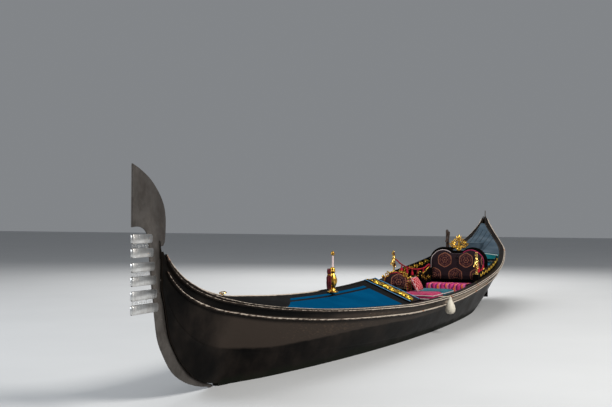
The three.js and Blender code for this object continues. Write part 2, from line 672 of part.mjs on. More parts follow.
// Stern iron: a slim strip on the after edge of the stern post, ending in a small point.
const STERN_IRON = { wide: 22, wideHead: 31, gap: -2, tip: [10.885, 1.425], tipFore: [10.872, 1.425] };
function sternShape() {
  const count = STERN.length - 1;
  const outer = STERN.map((row, i) => {
    const far = STERN_IRON.wide + (STERN_IRON.wideHead - STERN_IRON.wide) * (i / count);
    const long = Math.hypot(row.ds, row.dz);
    return i === count ? [xAt(row.s) - far, row.z] : inwards(row, -far / long);
  });
  const inner = STERN.map((row, i) => (i === count ? [xAt(row.s) + STERN_IRON.gap, row.z + 6]
    : inwards(row, STERN_IRON.gap)));
  return outline([...outer, metres(STERN_IRON.tip), metres(STERN_IRON.tipFore), ...inner.reverse()]);
}
part('stern_iron', 'iron', plate(sternShape(), IRON_THICK), { rotation: FORE_AND_AFT });

// The room inside the planks and ribs; wide pieces are trimmed to it.
const ROOM = { from: 4.75, to: 9.05, off: 37, top: 1500 };
function roomSection(s) {
  const [foot, bilge, middle, ...upper] = rows(s);
  const sheer = upper.at(-1);
  const heights = [foot + 3, bilge, middle, ...upper.slice(0, -1), sheer - 6];
  const half = (side) => [
    ...heights.map((z) => [insidePlank(side, s, z, ROOM.off), z]),
    [capInner(side, s) - 3, sheer - 4],
    [capInner(side, s) - 3, ROOM.top],
  ];
  const stbd = half('stbd').reverse().map(([y, z]) => [-y, z]);
  return [...half('port'), ...stbd].map(([y, z]) => [xAt(s), y, z]);
}
const room = solidOf(new THREE.Mesh(loft(between(ROOM.from, ROOM.to).map(roomSection))));

function fitted(...details) {
  return recut(part(...details), (solid) => solid.intersect(room));
}

// Side benches in the fore part of the cockpit, each a seat board with a front board and two brackets.
const BENCH = { from: 5.04, to: 6.05, z: 335, thick: 20, skirt: 18, bracket: 110, brackets: [5.24, 5.84] };
const BENCHES = [
  { tag: 'port', inner: 222, outer: 690, sign: 1 },
  { tag: 'starboard', inner: 165, outer: 484, sign: -1 },
];
for (const { tag, inner, outer, sign } of BENCHES) {
  const long = [xAt(BENCH.to), xAt(BENCH.from)];
  const under = [FLOOR_TOP + GAP, BENCH.z + 2];
  const bracketY = [sign * inner, sign * (inner + BENCH.bracket)];
  fitted(`bench_${tag}`, 'trim', joined(
    slab(long, [sign * inner, sign * outer], [BENCH.z, BENCH.z + BENCH.thick]),
    slab(long, [sign * inner, sign * (inner + BENCH.skirt)], under),
    ...BENCH.brackets.map((s) => slab([xAt(s + 0.02), xAt(s)], bracketY, under)),
  ));
}

// Pads: rounded blocks between two corners.
const PAD_Z = BENCH.z + BENCH.thick + GAP;
function pad(name, look, [x0, x1], [y0, y1], [z0, z1], round, parent = boat) {
  const shape = roundedRectangle(x1 - x0 - 2 * round, y1 - y0 - 2 * round, 0.6 * round);
  const position = [(x0 + x1) / 2, (y0 + y1) / 2, (z0 + z1) / 2];
  return fitted(name, look, pillow(shape, z1 - z0, round), { parent, position });
}
pad('bench_pad_pink', 'pink', [xAt(5.5), xAt(5.06)], [236, 680], [PAD_Z, PAD_Z + 74], 24);
pad('bench_pad_teal', 'teal', [xAt(6.03), xAt(5.52)], [236, 680], [PAD_Z, PAD_Z + 70], 24);
pad('bench_pad_starboard', 'brocade', [xAt(6.03), xAt(5.06)], [-478, -172], [PAD_Z, PAD_Z + 66], 22);

// Loose cushions on the port bench: a small one stands, and the larger one leans on it.
function cushion(name, look, { at, wide, high, thick, lean = 0, turn }) {
  const round = Math.min(thick * 0.3, 22);
  const stand = groupAt(...at);
  stand.rotation.set(0, lean, turn, 'ZYX');
  const shape = roundedRectangle(wide - 2 * round, high - 2 * round, 0.6 * round);
  part(name, look, pillow(shape, thick, round), {
    parent: stand, position: [0, 0, high / 2], rotation: ATHWART,
  });
}
const CUSHION_Z = PAD_Z + 74 + 14;
cushion('cushion_striped', 'crimson', {
  at: [xAt(5.40), 410, CUSHION_Z], wide: 220, high: 172, thick: 80, lean: -0.5, turn: Math.PI / 2,
});
cushion('cushion_dotted', 'brocade', {
  at: [xAt(5.42), 270, CUSHION_Z - 12], wide: 140, high: 125, thick: 56, lean: -0.06, turn: Math.PI / 2,
});

// Sofa, in its own group at the foot of the back's face: x forward, y to port.
const SOFA = { arm: 68, seat: 96, leg: 50, footHigh: 62, crown: 860, notch: 0.86, inset: 36 };
const sofa = groupAt(xAt(SOFA_BACK_S), SOFA_Y, 0);
const SOFA_DEEP = xAt(SOFA_FRONT_S) - xAt(SOFA_BACK_S);
const armInner = SOFA_HALF - SOFA.arm;
const sofaLegs = [60, SOFA_DEEP - 80].flatMap((x) => [-340, 150].map((y) => (
  slab([x, x + 60], [y, y + SOFA.leg], [FLOOR_TOP + GAP, FLOOR_TOP + SOFA.footHigh])
)));
const baseY = [SOFA.inset - SOFA_HALF, SOFA_HALF - SOFA.inset];
const sofaBox = slab([-20, SOFA_DEEP], baseY, [FLOOR_TOP + 60, SEAT_TOP - SOFA.seat - GAP]);
fitted('sofa_base', 'trim', joined(sofaBox, ...sofaLegs), { parent: sofa });
pad('sofa_seat_cushion', 'brocade', [6, SOFA_DEEP + 8], [3 - armInner, armInner - 3],
  [SEAT_TOP - SOFA.seat, SEAT_TOP], 30, sofa);

// Outline of the back: straight sides and two round lobes that meet in a notch.
function backShape(grow, foot) {
  const lobe = SOFA_HALF / 2;
  const high = SOFA.crown - lobe;
  return new THREE.Shape()
    .moveTo(SOFA_HALF + grow, foot)
    .lineTo(SOFA_HALF + grow, high)
    .absarc(lobe, high, lobe + grow, 0, Math.PI - SOFA.notch)
    .absarc(-lobe, high, lobe + grow, SOFA.notch, Math.PI)
    .lineTo(-SOFA_HALF - grow, foot);
}
const BACK = { thick: 88, round: 22, frame: 27.6, frameFoot: 150 };
const backPad = backShape(-BACK.round - 8, SEAT_TOP + 32);
fitted('sofa_back', 'brocade', pillow(backPad, BACK.thick, BACK.round, 8), {
  parent: sofa, position: [-BACK.thick / 2, 0, 0], rotation: ATHWART,
});
fitted('sofa_back_frame', 'trim', plate(backShape(10, BACK.frameFoot), BACK.frame, 8), {
  parent: sofa, position: [-BACK.thick - BACK.frame / 2 - 0.4, 0, 0], rotation: ATHWART,
});

// Arms: carved side pieces that sweep down and end in a scroll.
const ARM_FOOT = FLOOR_TOP + 64;
const ARM_TOP = 560;
const ARM_SCROLL = { x: 545, z: 468, r: 54 };
function armShape() {
  const shape = new THREE.Shape().moveTo(1, ARM_FOOT).lineTo(1, ARM_TOP).lineTo(60, ARM_TOP);
  spline(shape, [[150, 535], [260, 505], [360, 492], [440, 498], [500, 516]]);
  shape.absarc(ARM_SCROLL.x, ARM_SCROLL.z, ARM_SCROLL.r, 1.9, -1.9, true);
  spline(shape, [[508, 380], [520, 300], [540, 200]]);
  return shape.lineTo(540, ARM_FOOT);
}
for (const { tag, sign } of SIDES) {
  const y = sign * (armInner + 0.5 + SOFA.arm / 2);
  const under = [FLOOR_TOP, SEAT_TOP - SOFA.seat + GAP];
  const recess = slab([-30, SOFA_DEEP + 1], [y - SOFA.arm, y + SOFA.arm], under);
  sofa.add(recess);
  const arm = fitted(`sofa_arm_${tag}`, 'trim', plate(armShape(), SOFA.arm, 4), {
    parent: sofa, position: [0, y, 0], rotation: FORE_AND_AFT,
  });
  recut(arm, (solid) => solid.subtract(solidOf(recess)));
  sofa.remove(recess);
}

// Crest over the notch: a pierced crown of scrolls and leaves, one half mirrored.
const CREST_HALF = [
  [0, 1052], [26, 1040], [38, 1006], [64, 992], [92, 962], [84, 934], [128, 952], [160, 914],
  [122, 880], [72, 868], [48, 826], [34, 770],
];
const CREST_THICK = 29.6;
const crestShape = spline(new THREE.Shape().moveTo(...CREST_HALF[0]), CREST_HALF.slice(1))
  .lineTo(-CREST_HALF.at(-1)[0], CREST_HALF.at(-1)[1]);
spline(crestShape, CREST_HALF.slice(0, -1).reverse().map(([y, z]) => [-y, z]));
part('sofa_crest', 'gilt', plate(crestShape, CREST_THICK, 2), {
  parent: sofa, position: [-BACK.thick - BACK.frame - 0.8 - CREST_THICK / 2, 0, 0], rotation: ATHWART,
});

// Rug: it lies over the seat and hangs down in front.
const RUG = [
  [-330, GAP], [-330, 11], [14, 13], [26, -4], [30, -60], [31, -108], [19, -108], [18, -60],
  [14, -10], [9, GAP],
];
const RUG_WIDE = 570;
part('sofa_rug', 'pink', plate(outline(RUG), RUG_WIDE), {
  parent: sofa, position: [SOFA_DEEP, -15, SEAT_TOP], rotation: FORE_AND_AFT,
});

// Side boards inside the covering boards, beside the sofa, each with a square post at its fore end.
const SIDE_BOARD = { from: 7.14, to: 8.72, low: -70, high: 84, crown: 94, thick: 22 };
const HORSE = { s: 7.1, postTop: 545, aside: 28 };
function sideBoard({ side, sign }) {
  const { low, high, crown, thick } = SIDE_BOARD;
  const profile = [[0, low], [0, high], [thick / 2, crown], [thick, high], [thick, low]];
  return loft(between(SIDE_BOARD.from, SIDE_BOARD.to).map((s) => (
    profile.map(([deep, up]) => [xAt(s), sign * (capInner(side, s) - 2 - deep), line('sheer', s) + up])
  )));
}

// Brass sea-horses. Rows of the body: forward of the post axis, above its top, radius.
const HORSE_BODY = [
  [-62, 66, 3], [-72, 84, 7], [-62, 104, 11], [-38, 108, 15], [-12, 92, 20], [14, 96, 25], [30, 122, 29],
  [26, 158, 28], [8, 190, 24], [2, 222, 20], [12, 250, 19], [30, 268, 20], [50, 272, 17], [70, 262, 12],
  [84, 254, 9],
];
const HORSE_LEGS = [
  { aside: 14, points: [[28, 132, 11], [62, 140, 9], [78, 118, 7], [70, 98, 6]] },
  { aside: -14, points: [[28, 126, 11], [58, 116, 9], [84, 128, 7], [96, 112, 5]] },
];
const HORSE_MANE = [
  [6, 288], [-12, 262], [-20, 226], [-6, 196], [-30, 176], [-8, 150], [8, 160], [12, 230], [24, 276],
];
const HORSE_STAND = [[30, 0], [30, 12], [14, 22], [10, 60], [16, 96]];

// Crimson cords that sag from each mane to the sofa's arm; they come down on the arm's flat top.
const SWAG = { radius: 11, sag: 95, behind: 31.5, up: 176, straight: 16, onArm: 38, drop: 34 };
function swagPath(sign, y) {
  const from = new THREE.Vector3(xAt(HORSE.s) - SWAG.behind, y, HORSE.postTop + SWAG.up);
  const armY = SOFA_Y + sign * (armInner + SOFA.arm / 2);
  const to = new THREE.Vector3(xAt(SOFA_BACK_S) + SWAG.onArm, armY, ARM_TOP + GAP);
  const start = from.clone().setX(from.x - SWAG.straight);
  const end = to.clone().setZ(to.z + SWAG.drop);
  const hanging = [0.15, 0.3, 0.5, 0.7, 0.85].map((t) => {
    const point = start.clone().lerp(end, t);
    return point.setZ(point.z - 4 * SWAG.sag * t * (1 - t));
  });
  return new THREE.CatmullRomCurve3([from, start, ...hanging, end, to]);
}

for (const end of SIDES) {
  const y = end.sign * (capInner(end.side, HORSE.s) - HORSE.aside);
  const column = slab([xAt(HORSE.s) - 56, xAt(HORSE.s) + 26], [y - 26, y + 26], [300, HORSE.postTop]);
  fitted(`side_board_${end.tag}`, 'trim', joined(new THREE.Mesh(sideBoard(end)), column));
  part(`sea_horse_${end.tag}`, 'gilt', joined(
    new THREE.Mesh(limb(HORSE_BODY)),
    placed(turned(HORSE_STAND, 10), [0, 0, 0], FORE_AND_AFT),
    placed(plate(outline(HORSE_MANE), 8), [0, 0, 0], FORE_AND_AFT),
    ...HORSE_LEGS.map(({ aside, points }) => new THREE.Mesh(limb(points, aside))),
  ), { position: [xAt(HORSE.s), y, HORSE.postTop + GAP] });
  part(`swag_${end.tag}`, 'crimson', cordOf(swagPath(end.sign, y), SWAG.radius, 26));
}

// Small armchair on the starboard side, facing the bow, in its own group at the foot of its back.
const CHAIR = {
  y: -236, half: 176, back: 6.62, front: 6.2, seat: 270, seatThick: 90, leg: 40, rail: 95,
  backThick: 85, round: 22, arch: 108, crown: 590,
};
const chair = groupAt(xAt(CHAIR.back), CHAIR.y, 0);
const CHAIR_DEEP = xAt(CHAIR.front) - xAt(CHAIR.back);
const chairLegs = [6, CHAIR_DEEP - 46].flatMap((x) => [-168, 128].map((y) => (
  slab([x, x + CHAIR.leg], [y, y + CHAIR.leg], [FLOOR_TOP + GAP, CHAIR.seat - CHAIR.seatThick + 2])
)));
const chairWide = [-CHAIR.half, CHAIR.half];
fitted('chair_frame', 'trim', joined(
  slab([0, CHAIR_DEEP], chairWide, [CHAIR.seat - CHAIR.seatThick, CHAIR.seat]),
  slab([0, 30], chairWide, [CHAIR.seat - 10, CHAIR.seat + CHAIR.rail]),
  ...chairLegs,
), { parent: chair });
const cushionZ = [CHAIR.seat + GAP, CHAIR.seat + 72];
pad('chair_cushion', 'crimson', [96, CHAIR_DEEP + 6], [-168, 168], cushionZ, 24, chair);
const archHalf = CHAIR.half - CHAIR.round - 2;
const archFoot = CHAIR.crown - CHAIR.round - CHAIR.arch;
const backFoot = CHAIR.seat + CHAIR.rail + CHAIR.round + 2;
const chairBack = new THREE.Shape()
  .moveTo(archHalf, backFoot)
  .lineTo(archHalf, archFoot)
  .absellipse(0, archFoot, archHalf, CHAIR.arch, 0, Math.PI)
  .lineTo(-archHalf, backFoot);
fitted('chair_back', 'brocade', pillow(chairBack, CHAIR.backThick, CHAIR.round, 12), {
  parent: chair, position: [CHAIR.backThick / 2 + 0.5, 0, 0], rotation: ATHWART,
});

// Gilt finial with a staff on the fore deck, and the furled pennant beside it.
const finial = groupAt(xAt(3.36), 120, 556);
const FINIAL = [
  [52, 0], [54, 12], [30, 22], [22, 44], [34, 74], [42, 110], [36, 150], [20, 180], [26, 204], [22, 228],
  [10, 244], [8, 360], [16, 368], [19, 384], [10, 400],
];
part('pennant_finial', 'gilt', turned(FINIAL, 12), { parent: finial, rotation: FORE_AND_AFT });
// Rows of the cloth: forward and height of the middle, half widths forward and across.
const CLOTH = [
  [0, 232, 8.4, 8], [6, 200, 15.4, 14], [10, 150, 21, 20], [8, 90, 25.2, 24], [4, 50, 28, 26],
  [2, 34, 21, 18],
];
part('pennant_cloth', 'crimson', loft(CLOTH.map(([x, z, a, b]) => (
  new THREE.EllipseCurve(x, 0, a, b).getPoints(8).slice(0, 8).map((p) => [p.x, p.y, z])
))), { parent: finial, position: [74, -8, 0] });

// Rowing crutch on the starboard quarter, and the block that carries it.
const CRUTCH = { s: 9.3, aside: 36, thick: 40, blockFrom: 6, blockTo: 70, blockHigh: 34 };
const crutchFoot = line('sheer', 9.42) + CAP_HIGH + CRUTCH.blockHigh;
part('forcola_block', 'trim', loft([9.18, 9.35, 9.44].map((s) => {
  const z = line('sheer', s) + CAP_HIGH + GAP;
  const [y0, y1] = [CRUTCH.blockFrom, CRUTCH.blockTo].map((far) => -(capInner('stbd', s) + far));
  return [[xAt(s), y0, z], [xAt(s), y1, z], [xAt(s), y1, crutchFoot], [xAt(s), y0, crutchFoot]];
})));
const CRUTCH_AFT = [
  [-30, 100], [-40, 146], [-80, 198], [-78, 236], [-54, 246], [-34, 218], [-8, 192], [14, 218], [14, 262],
  [36, 276], [53, 240], [40, 180], [46, 134], [86, 104], [88, 80], [48, 60], [40, 0],
];
const crutchShape = spline(new THREE.Shape().moveTo(-40, 0), CRUTCH_AFT);
const crutchY = -(capInner('stbd', CRUTCH.s) + CRUTCH.aside);
part('forcola', 'walnut', plate(crutchShape, CRUTCH.thick, 2), {
  position: [xAt(CRUTCH.s), crutchY, crutchFoot + GAP], rotation: FORE_AND_AFT,
});

// Fender on the port side, hung from a lanyard over the rail.
const FENDER = { s: 5.12, radius: 56, low: 217, high: 190, off: 5 };
const fender = groupAt(xAt(FENDER.s), line('port', FENDER.s) + FENDER.radius + FENDER.off, FENDER.low);
const FENDER_PROFILE = [
  [12, 0], [38, 7], [53, 28], [FENDER.radius, 56], [50, 88], [35, 124], [21, 156], [12, 178],
  [10, FENDER.high],
];
part('fender', 'white', turned(FENDER_PROFILE, 14), { parent: fender, rotation: FORE_AND_AFT });

// Lanyard: rows are the way inboard and the height, over the fender's head or over the rail.
const LANYARD_RADIUS = 6;
const overRail = line('sheer', FENDER.s) + CAP_HIGH - FENDER.low;
const LANYARD = [
  [0, FENDER.high + 1.5], [-0.5, FENDER.high + 9], [-22, overRail + 12], [-52, overRail + 9],
  [-90, overRail + 8], [-132, overRail + 8],
];
const lanyardPath = new THREE.CatmullRomCurve3(LANYARD.map(([y, z]) => new THREE.Vector3(0, y, z)));
part('fender_lanyard', 'white', cordOf(lanyardPath, LANYARD_RADIUS, 16), { parent: fender });

export default boat;
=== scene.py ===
"""Looks of the gondola boat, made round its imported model.

Metres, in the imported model's frame: +X to the bow, +Y to port, +Z up, the origin amidships on the waterline.
Places along the boat are given as metres aft of the bow iron's front, through x_at.
"""

from __future__ import annotations

import logging
import math
import random
from collections.abc import Callable, Sequence
from dataclasses import dataclass, field
from enum import Enum, IntEnum

import bmesh
import bpy
from mathutils import Matrix, Vector
from mathutils.bvhtree import BVHTree


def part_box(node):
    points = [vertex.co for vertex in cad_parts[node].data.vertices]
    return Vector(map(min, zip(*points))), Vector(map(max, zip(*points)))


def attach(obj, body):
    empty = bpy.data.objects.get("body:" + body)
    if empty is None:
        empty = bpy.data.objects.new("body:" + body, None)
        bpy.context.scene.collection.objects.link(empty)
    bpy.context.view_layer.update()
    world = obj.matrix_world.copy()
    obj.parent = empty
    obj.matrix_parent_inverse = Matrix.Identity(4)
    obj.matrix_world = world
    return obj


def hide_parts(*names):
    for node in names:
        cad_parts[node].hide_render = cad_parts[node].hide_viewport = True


LOG = logging.getLogger("gondola")
AMIDSHIPS = 5.4
GAP = 0.0003

Colour = tuple[float, float, float]
Point2 = tuple[float, float]
Place = Callable[[float, float, float], Vector]
Thing = bpy.types.Object
Material = bpy.types.Material
Socket = bpy.types.NodeSocket
UP = Vector((0, 0, 1))
AHEAD = Vector((1, 0, 0))

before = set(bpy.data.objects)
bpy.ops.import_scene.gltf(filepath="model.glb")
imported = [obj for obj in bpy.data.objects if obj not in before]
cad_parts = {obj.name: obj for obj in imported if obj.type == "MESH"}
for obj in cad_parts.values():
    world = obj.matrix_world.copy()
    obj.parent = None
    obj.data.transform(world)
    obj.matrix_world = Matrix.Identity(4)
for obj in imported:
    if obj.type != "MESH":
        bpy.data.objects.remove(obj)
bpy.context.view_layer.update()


def x_at(s: float) -> float:
    """Turns metres aft of the bow iron's front into the frame's x."""
    return AMIDSHIPS - s


def mix(a: float, b: float, t: float) -> float:
    """Goes from a to b as t goes from 0 to 1."""
    return a + (b - a) * t


def clamp(value: float, low: float = 0.0, high: float = 1.0) -> float:
    """Keeps a value between two others."""
    return max(low, min(high, value))


def circle(radius: float, turn: float, height: float = 0.0) -> Vector:
    """Gives a point of an upright circle: its radius, its angle and its height."""
    return Vector((radius * math.cos(turn), radius * math.sin(turn), height))


def curve_through(points: Sequence[Sequence[float]], steps: int, closed: bool = False) -> list[Vector]:
    """Runs a smooth curve through points.

    Args:
        points: the points that it passes, of any dimension.
        steps: new points for each stretch.
        closed: whether the last point leads back to the first.

    Returns:
        The points of the curve, the given ones among them.
    """
    given = [Vector(p) for p in points]
    count = len(given)
    made = []
    for i in range(count if closed else count - 1):
        near = [i + k for k in (-1, 0, 1, 2)]
        a, b, c, d = (given[k % count if closed else int(clamp(k, 0, count - 1))] for k in near)
        for step in range(steps):
            t = step / steps
            bend = (2 * a - 5 * b + 4 * c - d) * t * t
            made.append(0.5 * (2 * b + (c - a) * t + bend + (3 * b - a - 3 * c + d) * t * t * t))
    if not closed:
        made.append(given[-1])
    return made


def cord_through(points: Sequence[Vector], gap: float) -> list[Vector]:
    """Runs a centreline through points that lie unevenly apart.

    Args:
        points: the points that it passes.
        gap: about how far apart its own points are.

    Returns:
        The points of the centreline.
    """
    spans = [(b - a).length for a, b in zip(points, points[1:])]
    slopes = [(b - a) / span for a, b, span in zip(points, points[1:], spans)]
    inner = [(slopes[i] * spans[i + 1] + slopes[i + 1] * spans[i]) / (spans[i] + spans[i + 1])
             for i in range(len(spans) - 1)]
    leans = [slopes[0], *inner, slopes[-1]]
    made = []
    for i, span in enumerate(spans):
        steps = max(2, round(span / gap))
        for step in range(steps):
            t = step / steps
            ease = t * t * (3 - 2 * t)
            made.append(points[i].lerp(points[i + 1], ease)
                        + (leans[i] * (1 - t) - leans[i + 1] * t) * (span * t * (1 - t)))
    made.append(points[-1].copy())
    return made


def along(knots: Sequence[Point2], x: float) -> float:
    """Reads a smooth line through knots.

    Args:
        knots: places and values, in the order of their places.
        x: the place to read at.

    Returns:
        The value there, by a cubic with slopes from the neighbours.
    """
    last = len(knots) - 2
    i = 0
    rising = knots[-1][0] > knots[0][0]
    while i < last and (x > knots[i + 1][0]) == rising:
        i += 1
    (x0, y0), (x1, y1) = knots[i], knots[i + 1]
    width = x1 - x0
    slope = (y1 - y0) / width
    before = (y0 - knots[i - 1][1]) / (x0 - knots[i - 1][0]) if i else slope
    after = (knots[i + 2][1] - y1) / (knots[i + 2][0] - x1) if i < last else slope
    t = clamp((x - x0) / width)
    m0 = (slope + before) / 2 * width
    m1 = (slope + after) / 2 * width
    return ((2 * t ** 3 - 3 * t ** 2 + 1) * y0 + (t ** 3 - 2 * t ** 2 + t) * m0
            + (3 * t ** 2 - 2 * t ** 3) * y1 + (t ** 3 - t ** 2) * m1)


def cad_points(node: str) -> set[tuple[float, ...]]:
    """Gives a CAD node's corners, each once, to a tenth of a millimetre."""
    return {tuple(round(c, 4) for c in v.co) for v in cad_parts[node].data.vertices}


class Side(Enum):
    """The two sides of the boat, with the sign of their y."""

    PORT = 1
    STARBOARD = -1

    @property
    def tag(self) -> str:
        """The side's name as the pieces have it."""
        return self.name.lower()


class Row(IntEnum):
    """The rows of the planking, from the chine up to the sheer."""

    CHINE = 0
    BILGE = 1
    LOW_STRAKE_FOOT = 2
    LOW_STRAKE_HEAD = 3
    RAIL_STRAKE_FOOT = 4
    SHEER = 5


class Shape:
    """Collects the points and faces of one piece and makes its object."""

    def __init__(self, name: str) -> None:
        """Starts an empty shape with the piece's name."""
        self.name = name
        self.points: list[Vector] = []
        self.faces: list[tuple[int, ...]] = []
        self.wear: list[float] = []

    def rings(self, rings: Sequence[Sequence[Vector]], wear: Sequence[Sequence[float]] | None = None) -> None:
        """Joins closed rings of equal length into a closed tube.

        Args:
            rings: the rings, in order.
            wear: how worn each point of each ring is, from 0 to 1; on the hull's band under the lower strake
                it is the strength of a painted sheen.
        """
        base = len(self.points)
        size = len(rings[0])
        for k, ring in enumerate(rings):
            self.points.extend(ring)
            self.wear.extend(wear[k] if wear else [0.0] * size)
        last = base + (len(rings) - 1) * size
        for a in range(base, last, size):
            for i in range(size):
                j = (i + 1) % size
                self.faces.append((a + i, a + j, a + size + j, a + size + i))
        self.faces.append(tuple(base + i for i in reversed(range(size))))
        self.faces.append(tuple(last + i for i in range(size)))

    def tube(self, path: Sequence[Vector], radii: float | Sequence[float], sides: int = 10,
             flat: float = 1.0, up: Vector | None = None) -> None:
        """Sweeps a round or flattened section along a path.

        Args:
            path: the middle line.
            radii: the radius, one or one for each point.
            sides: corners of the section.
            flat: the section's thickness as a share of its width.
            up: the direction of the thickness, where the section is flattened.
        """
        count = len(path)
        rings = []
        lift = up
        for i, point in enumerate(path):
            ahead = (path[min(i + 1, count - 1)] - path[max(i - 1, 0)]).normalized()
            if lift is None:
                lift = UP if abs(ahead.z) < 0.9 else AHEAD
            across = ahead.cross(lift)
            across = across.normalized() if across.length > 1e-6 else ahead.orthogonal().normalized()
            top = across.cross(ahead).normalized()
            if up is None:
                lift = top
            radius = radii if isinstance(radii, float) else radii[i]
            rings.append([
                point + across * (radius * math.cos(math.tau * k / sides))
                + top * (radius * flat * math.sin(math.tau * k / sides))
                for k in range(sides)
            ])
        self.rings(rings)

    def lathe(self, axis: Vector, profile: Sequence[Point2], sides: int = 40, direction: Vector = UP) -> None:
        """Turns a profile about an axis.

        Args:
            axis: the foot of the axis.
            profile: radius and height, from one end to the other.
            sides: corners of a ring.
            direction: where the axis points.
        """
        turn = direction.to_track_quat("Z", "Y").to_matrix()
        turns = [math.tau * k / sides for k in range(sides)]
        self.rings([[axis + turn @ circle(r, angle, z) for angle in turns] for r, z in profile])

    def plate(self, outline: Sequence[Point2], place: Place, thick: float, ease: float) -> None:
        """Makes a flat plate with eased edges.

        Args:
            outline: its edge, in the plate's own two directions.
            place: turns the two directions and the height off the middle into a point.
            thick: the plate's thickness.
            ease: how far the edges are rounded.
        """
        area = sum(a[0] * b[1] - b[0] * a[1] for a, b in zip(outline, [*outline[1:], outline[0]]))
        turn = -1.0 if area > 0 else 1.0
        count = len(outline)
        inner = []
        for i in range(count):
            a, b, c = Vector(outline[i - 1]), Vector(outline[i]), Vector(outline[(i + 1) % count])
            first, second = (b - a).normalized(), (c - b).normalized()
            normal = Vector((-(first.y + second.y), first.x + second.x)).normalized()
            inner.append(tuple(b - normal * (ease * turn)))
        half = thick / 2
        levels = [(inner, half), (outline, half - ease), (outline, ease - half), (inner, -half)]
        self.rings([[place(u, v, h) for u, v in ring] for ring, h in levels])

    def box(self, low: Sequence[float], high: Sequence[float], ease: float = 0.002) -> None:
        """Makes a block between two corners, with its upright edges eased."""
        outline = [(low[0], low[1]), (high[0], low[1]), (high[0], high[1]), (low[0], high[1])]
        middle = (low[2] + high[2]) / 2
        self.plate(outline, lambda u, v, h: Vector((u, v, middle + h)), high[2] - low[2], ease)

    def made(self, finish: Material, crease: float = 40.0) -> Thing:
        """Makes the object.

        Args:
            finish: its material.
            crease: the angle in degrees past which an edge stays sharp.

        Returns:
            The object, at the origin, with its faces outwards.
        """
        mesh = bpy.data.meshes.new(self.name)
        mesh.from_pydata(self.points, [], self.faces)
        mesh.materials.append(finish)
        # The kept number is wear, and on the hull's lower band a painted sheen.
        worn = mesh.attributes.new("wear", "FLOAT", "POINT")
        worn.data.foreach_set("value", self.wear)
        return linked(self.name, mesh, crease)


def placed(name: str, data: bpy.types.ID) -> Thing:
    """Puts a new object into the scene."""
    thing = bpy.data.objects.new(name, data)
    bpy.context.scene.collection.objects.link(thing)
    return thing


def smoothed(thing: Thing) -> Thing:
    """Shades every face of an object smooth."""
    for face in thing.data.polygons:
        face.use_smooth = True
    return thing


def linked(name: str, mesh: bpy.types.Mesh, crease: float = 40.0) -> Thing:
    """Puts a closed mesh into the scene with smooth faces that point outwards.

    Args:
        name: the object's name.
        mesh: the closed mesh.
        crease: the angle in degrees past which an edge stays sharp.

    Returns:
        The object.
    """
    body = bmesh.new()
    body.from_mesh(mesh)
    bmesh.ops.recalc_face_normals(body, faces=body.faces)
    for edge in body.edges:
        edge.smooth = edge.calc_face_angle(0.0) < math.radians(crease)
    body.to_mesh(mesh)
    body.free()
    return smoothed(placed(name, mesh))


def upright(y: float = 0.0) -> Place:
    """Gives the plane that stands along the boat at y."""
    return lambda u, v, h: Vector((u, y + h, v))


def settle(piece: Thing, slot: str, *nodes: str) -> Thing:
    """Lets a piece ride on the boat in place of CAD nodes.

    Args:
        piece: the finished piece.
        slot: the record's material slot; not used.
        nodes: the nodes that it stands for.

    Returns:
        The piece.
    """
    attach(piece, "root")
    if nodes:
        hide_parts(*nodes)
    LOG.info("%s: %d faces", piece.name, len(piece.data.polygons))
    return piece


def evaluated(thing: Thing) -> bpy.types.Mesh:
    """Gives a plain mesh of an object with its modifiers applied."""
    graph = bpy.context.evaluated_depsgraph_get()
    return bpy.data.meshes.new_from_object(thing.evaluated_get(graph), depsgraph=graph)


def bake_modifiers(thing: Thing) -> None:
    """Applies an object's modifiers to its mesh."""
    mesh = evaluated(thing)
    thing.modifiers.clear()
    thing.data = mesh


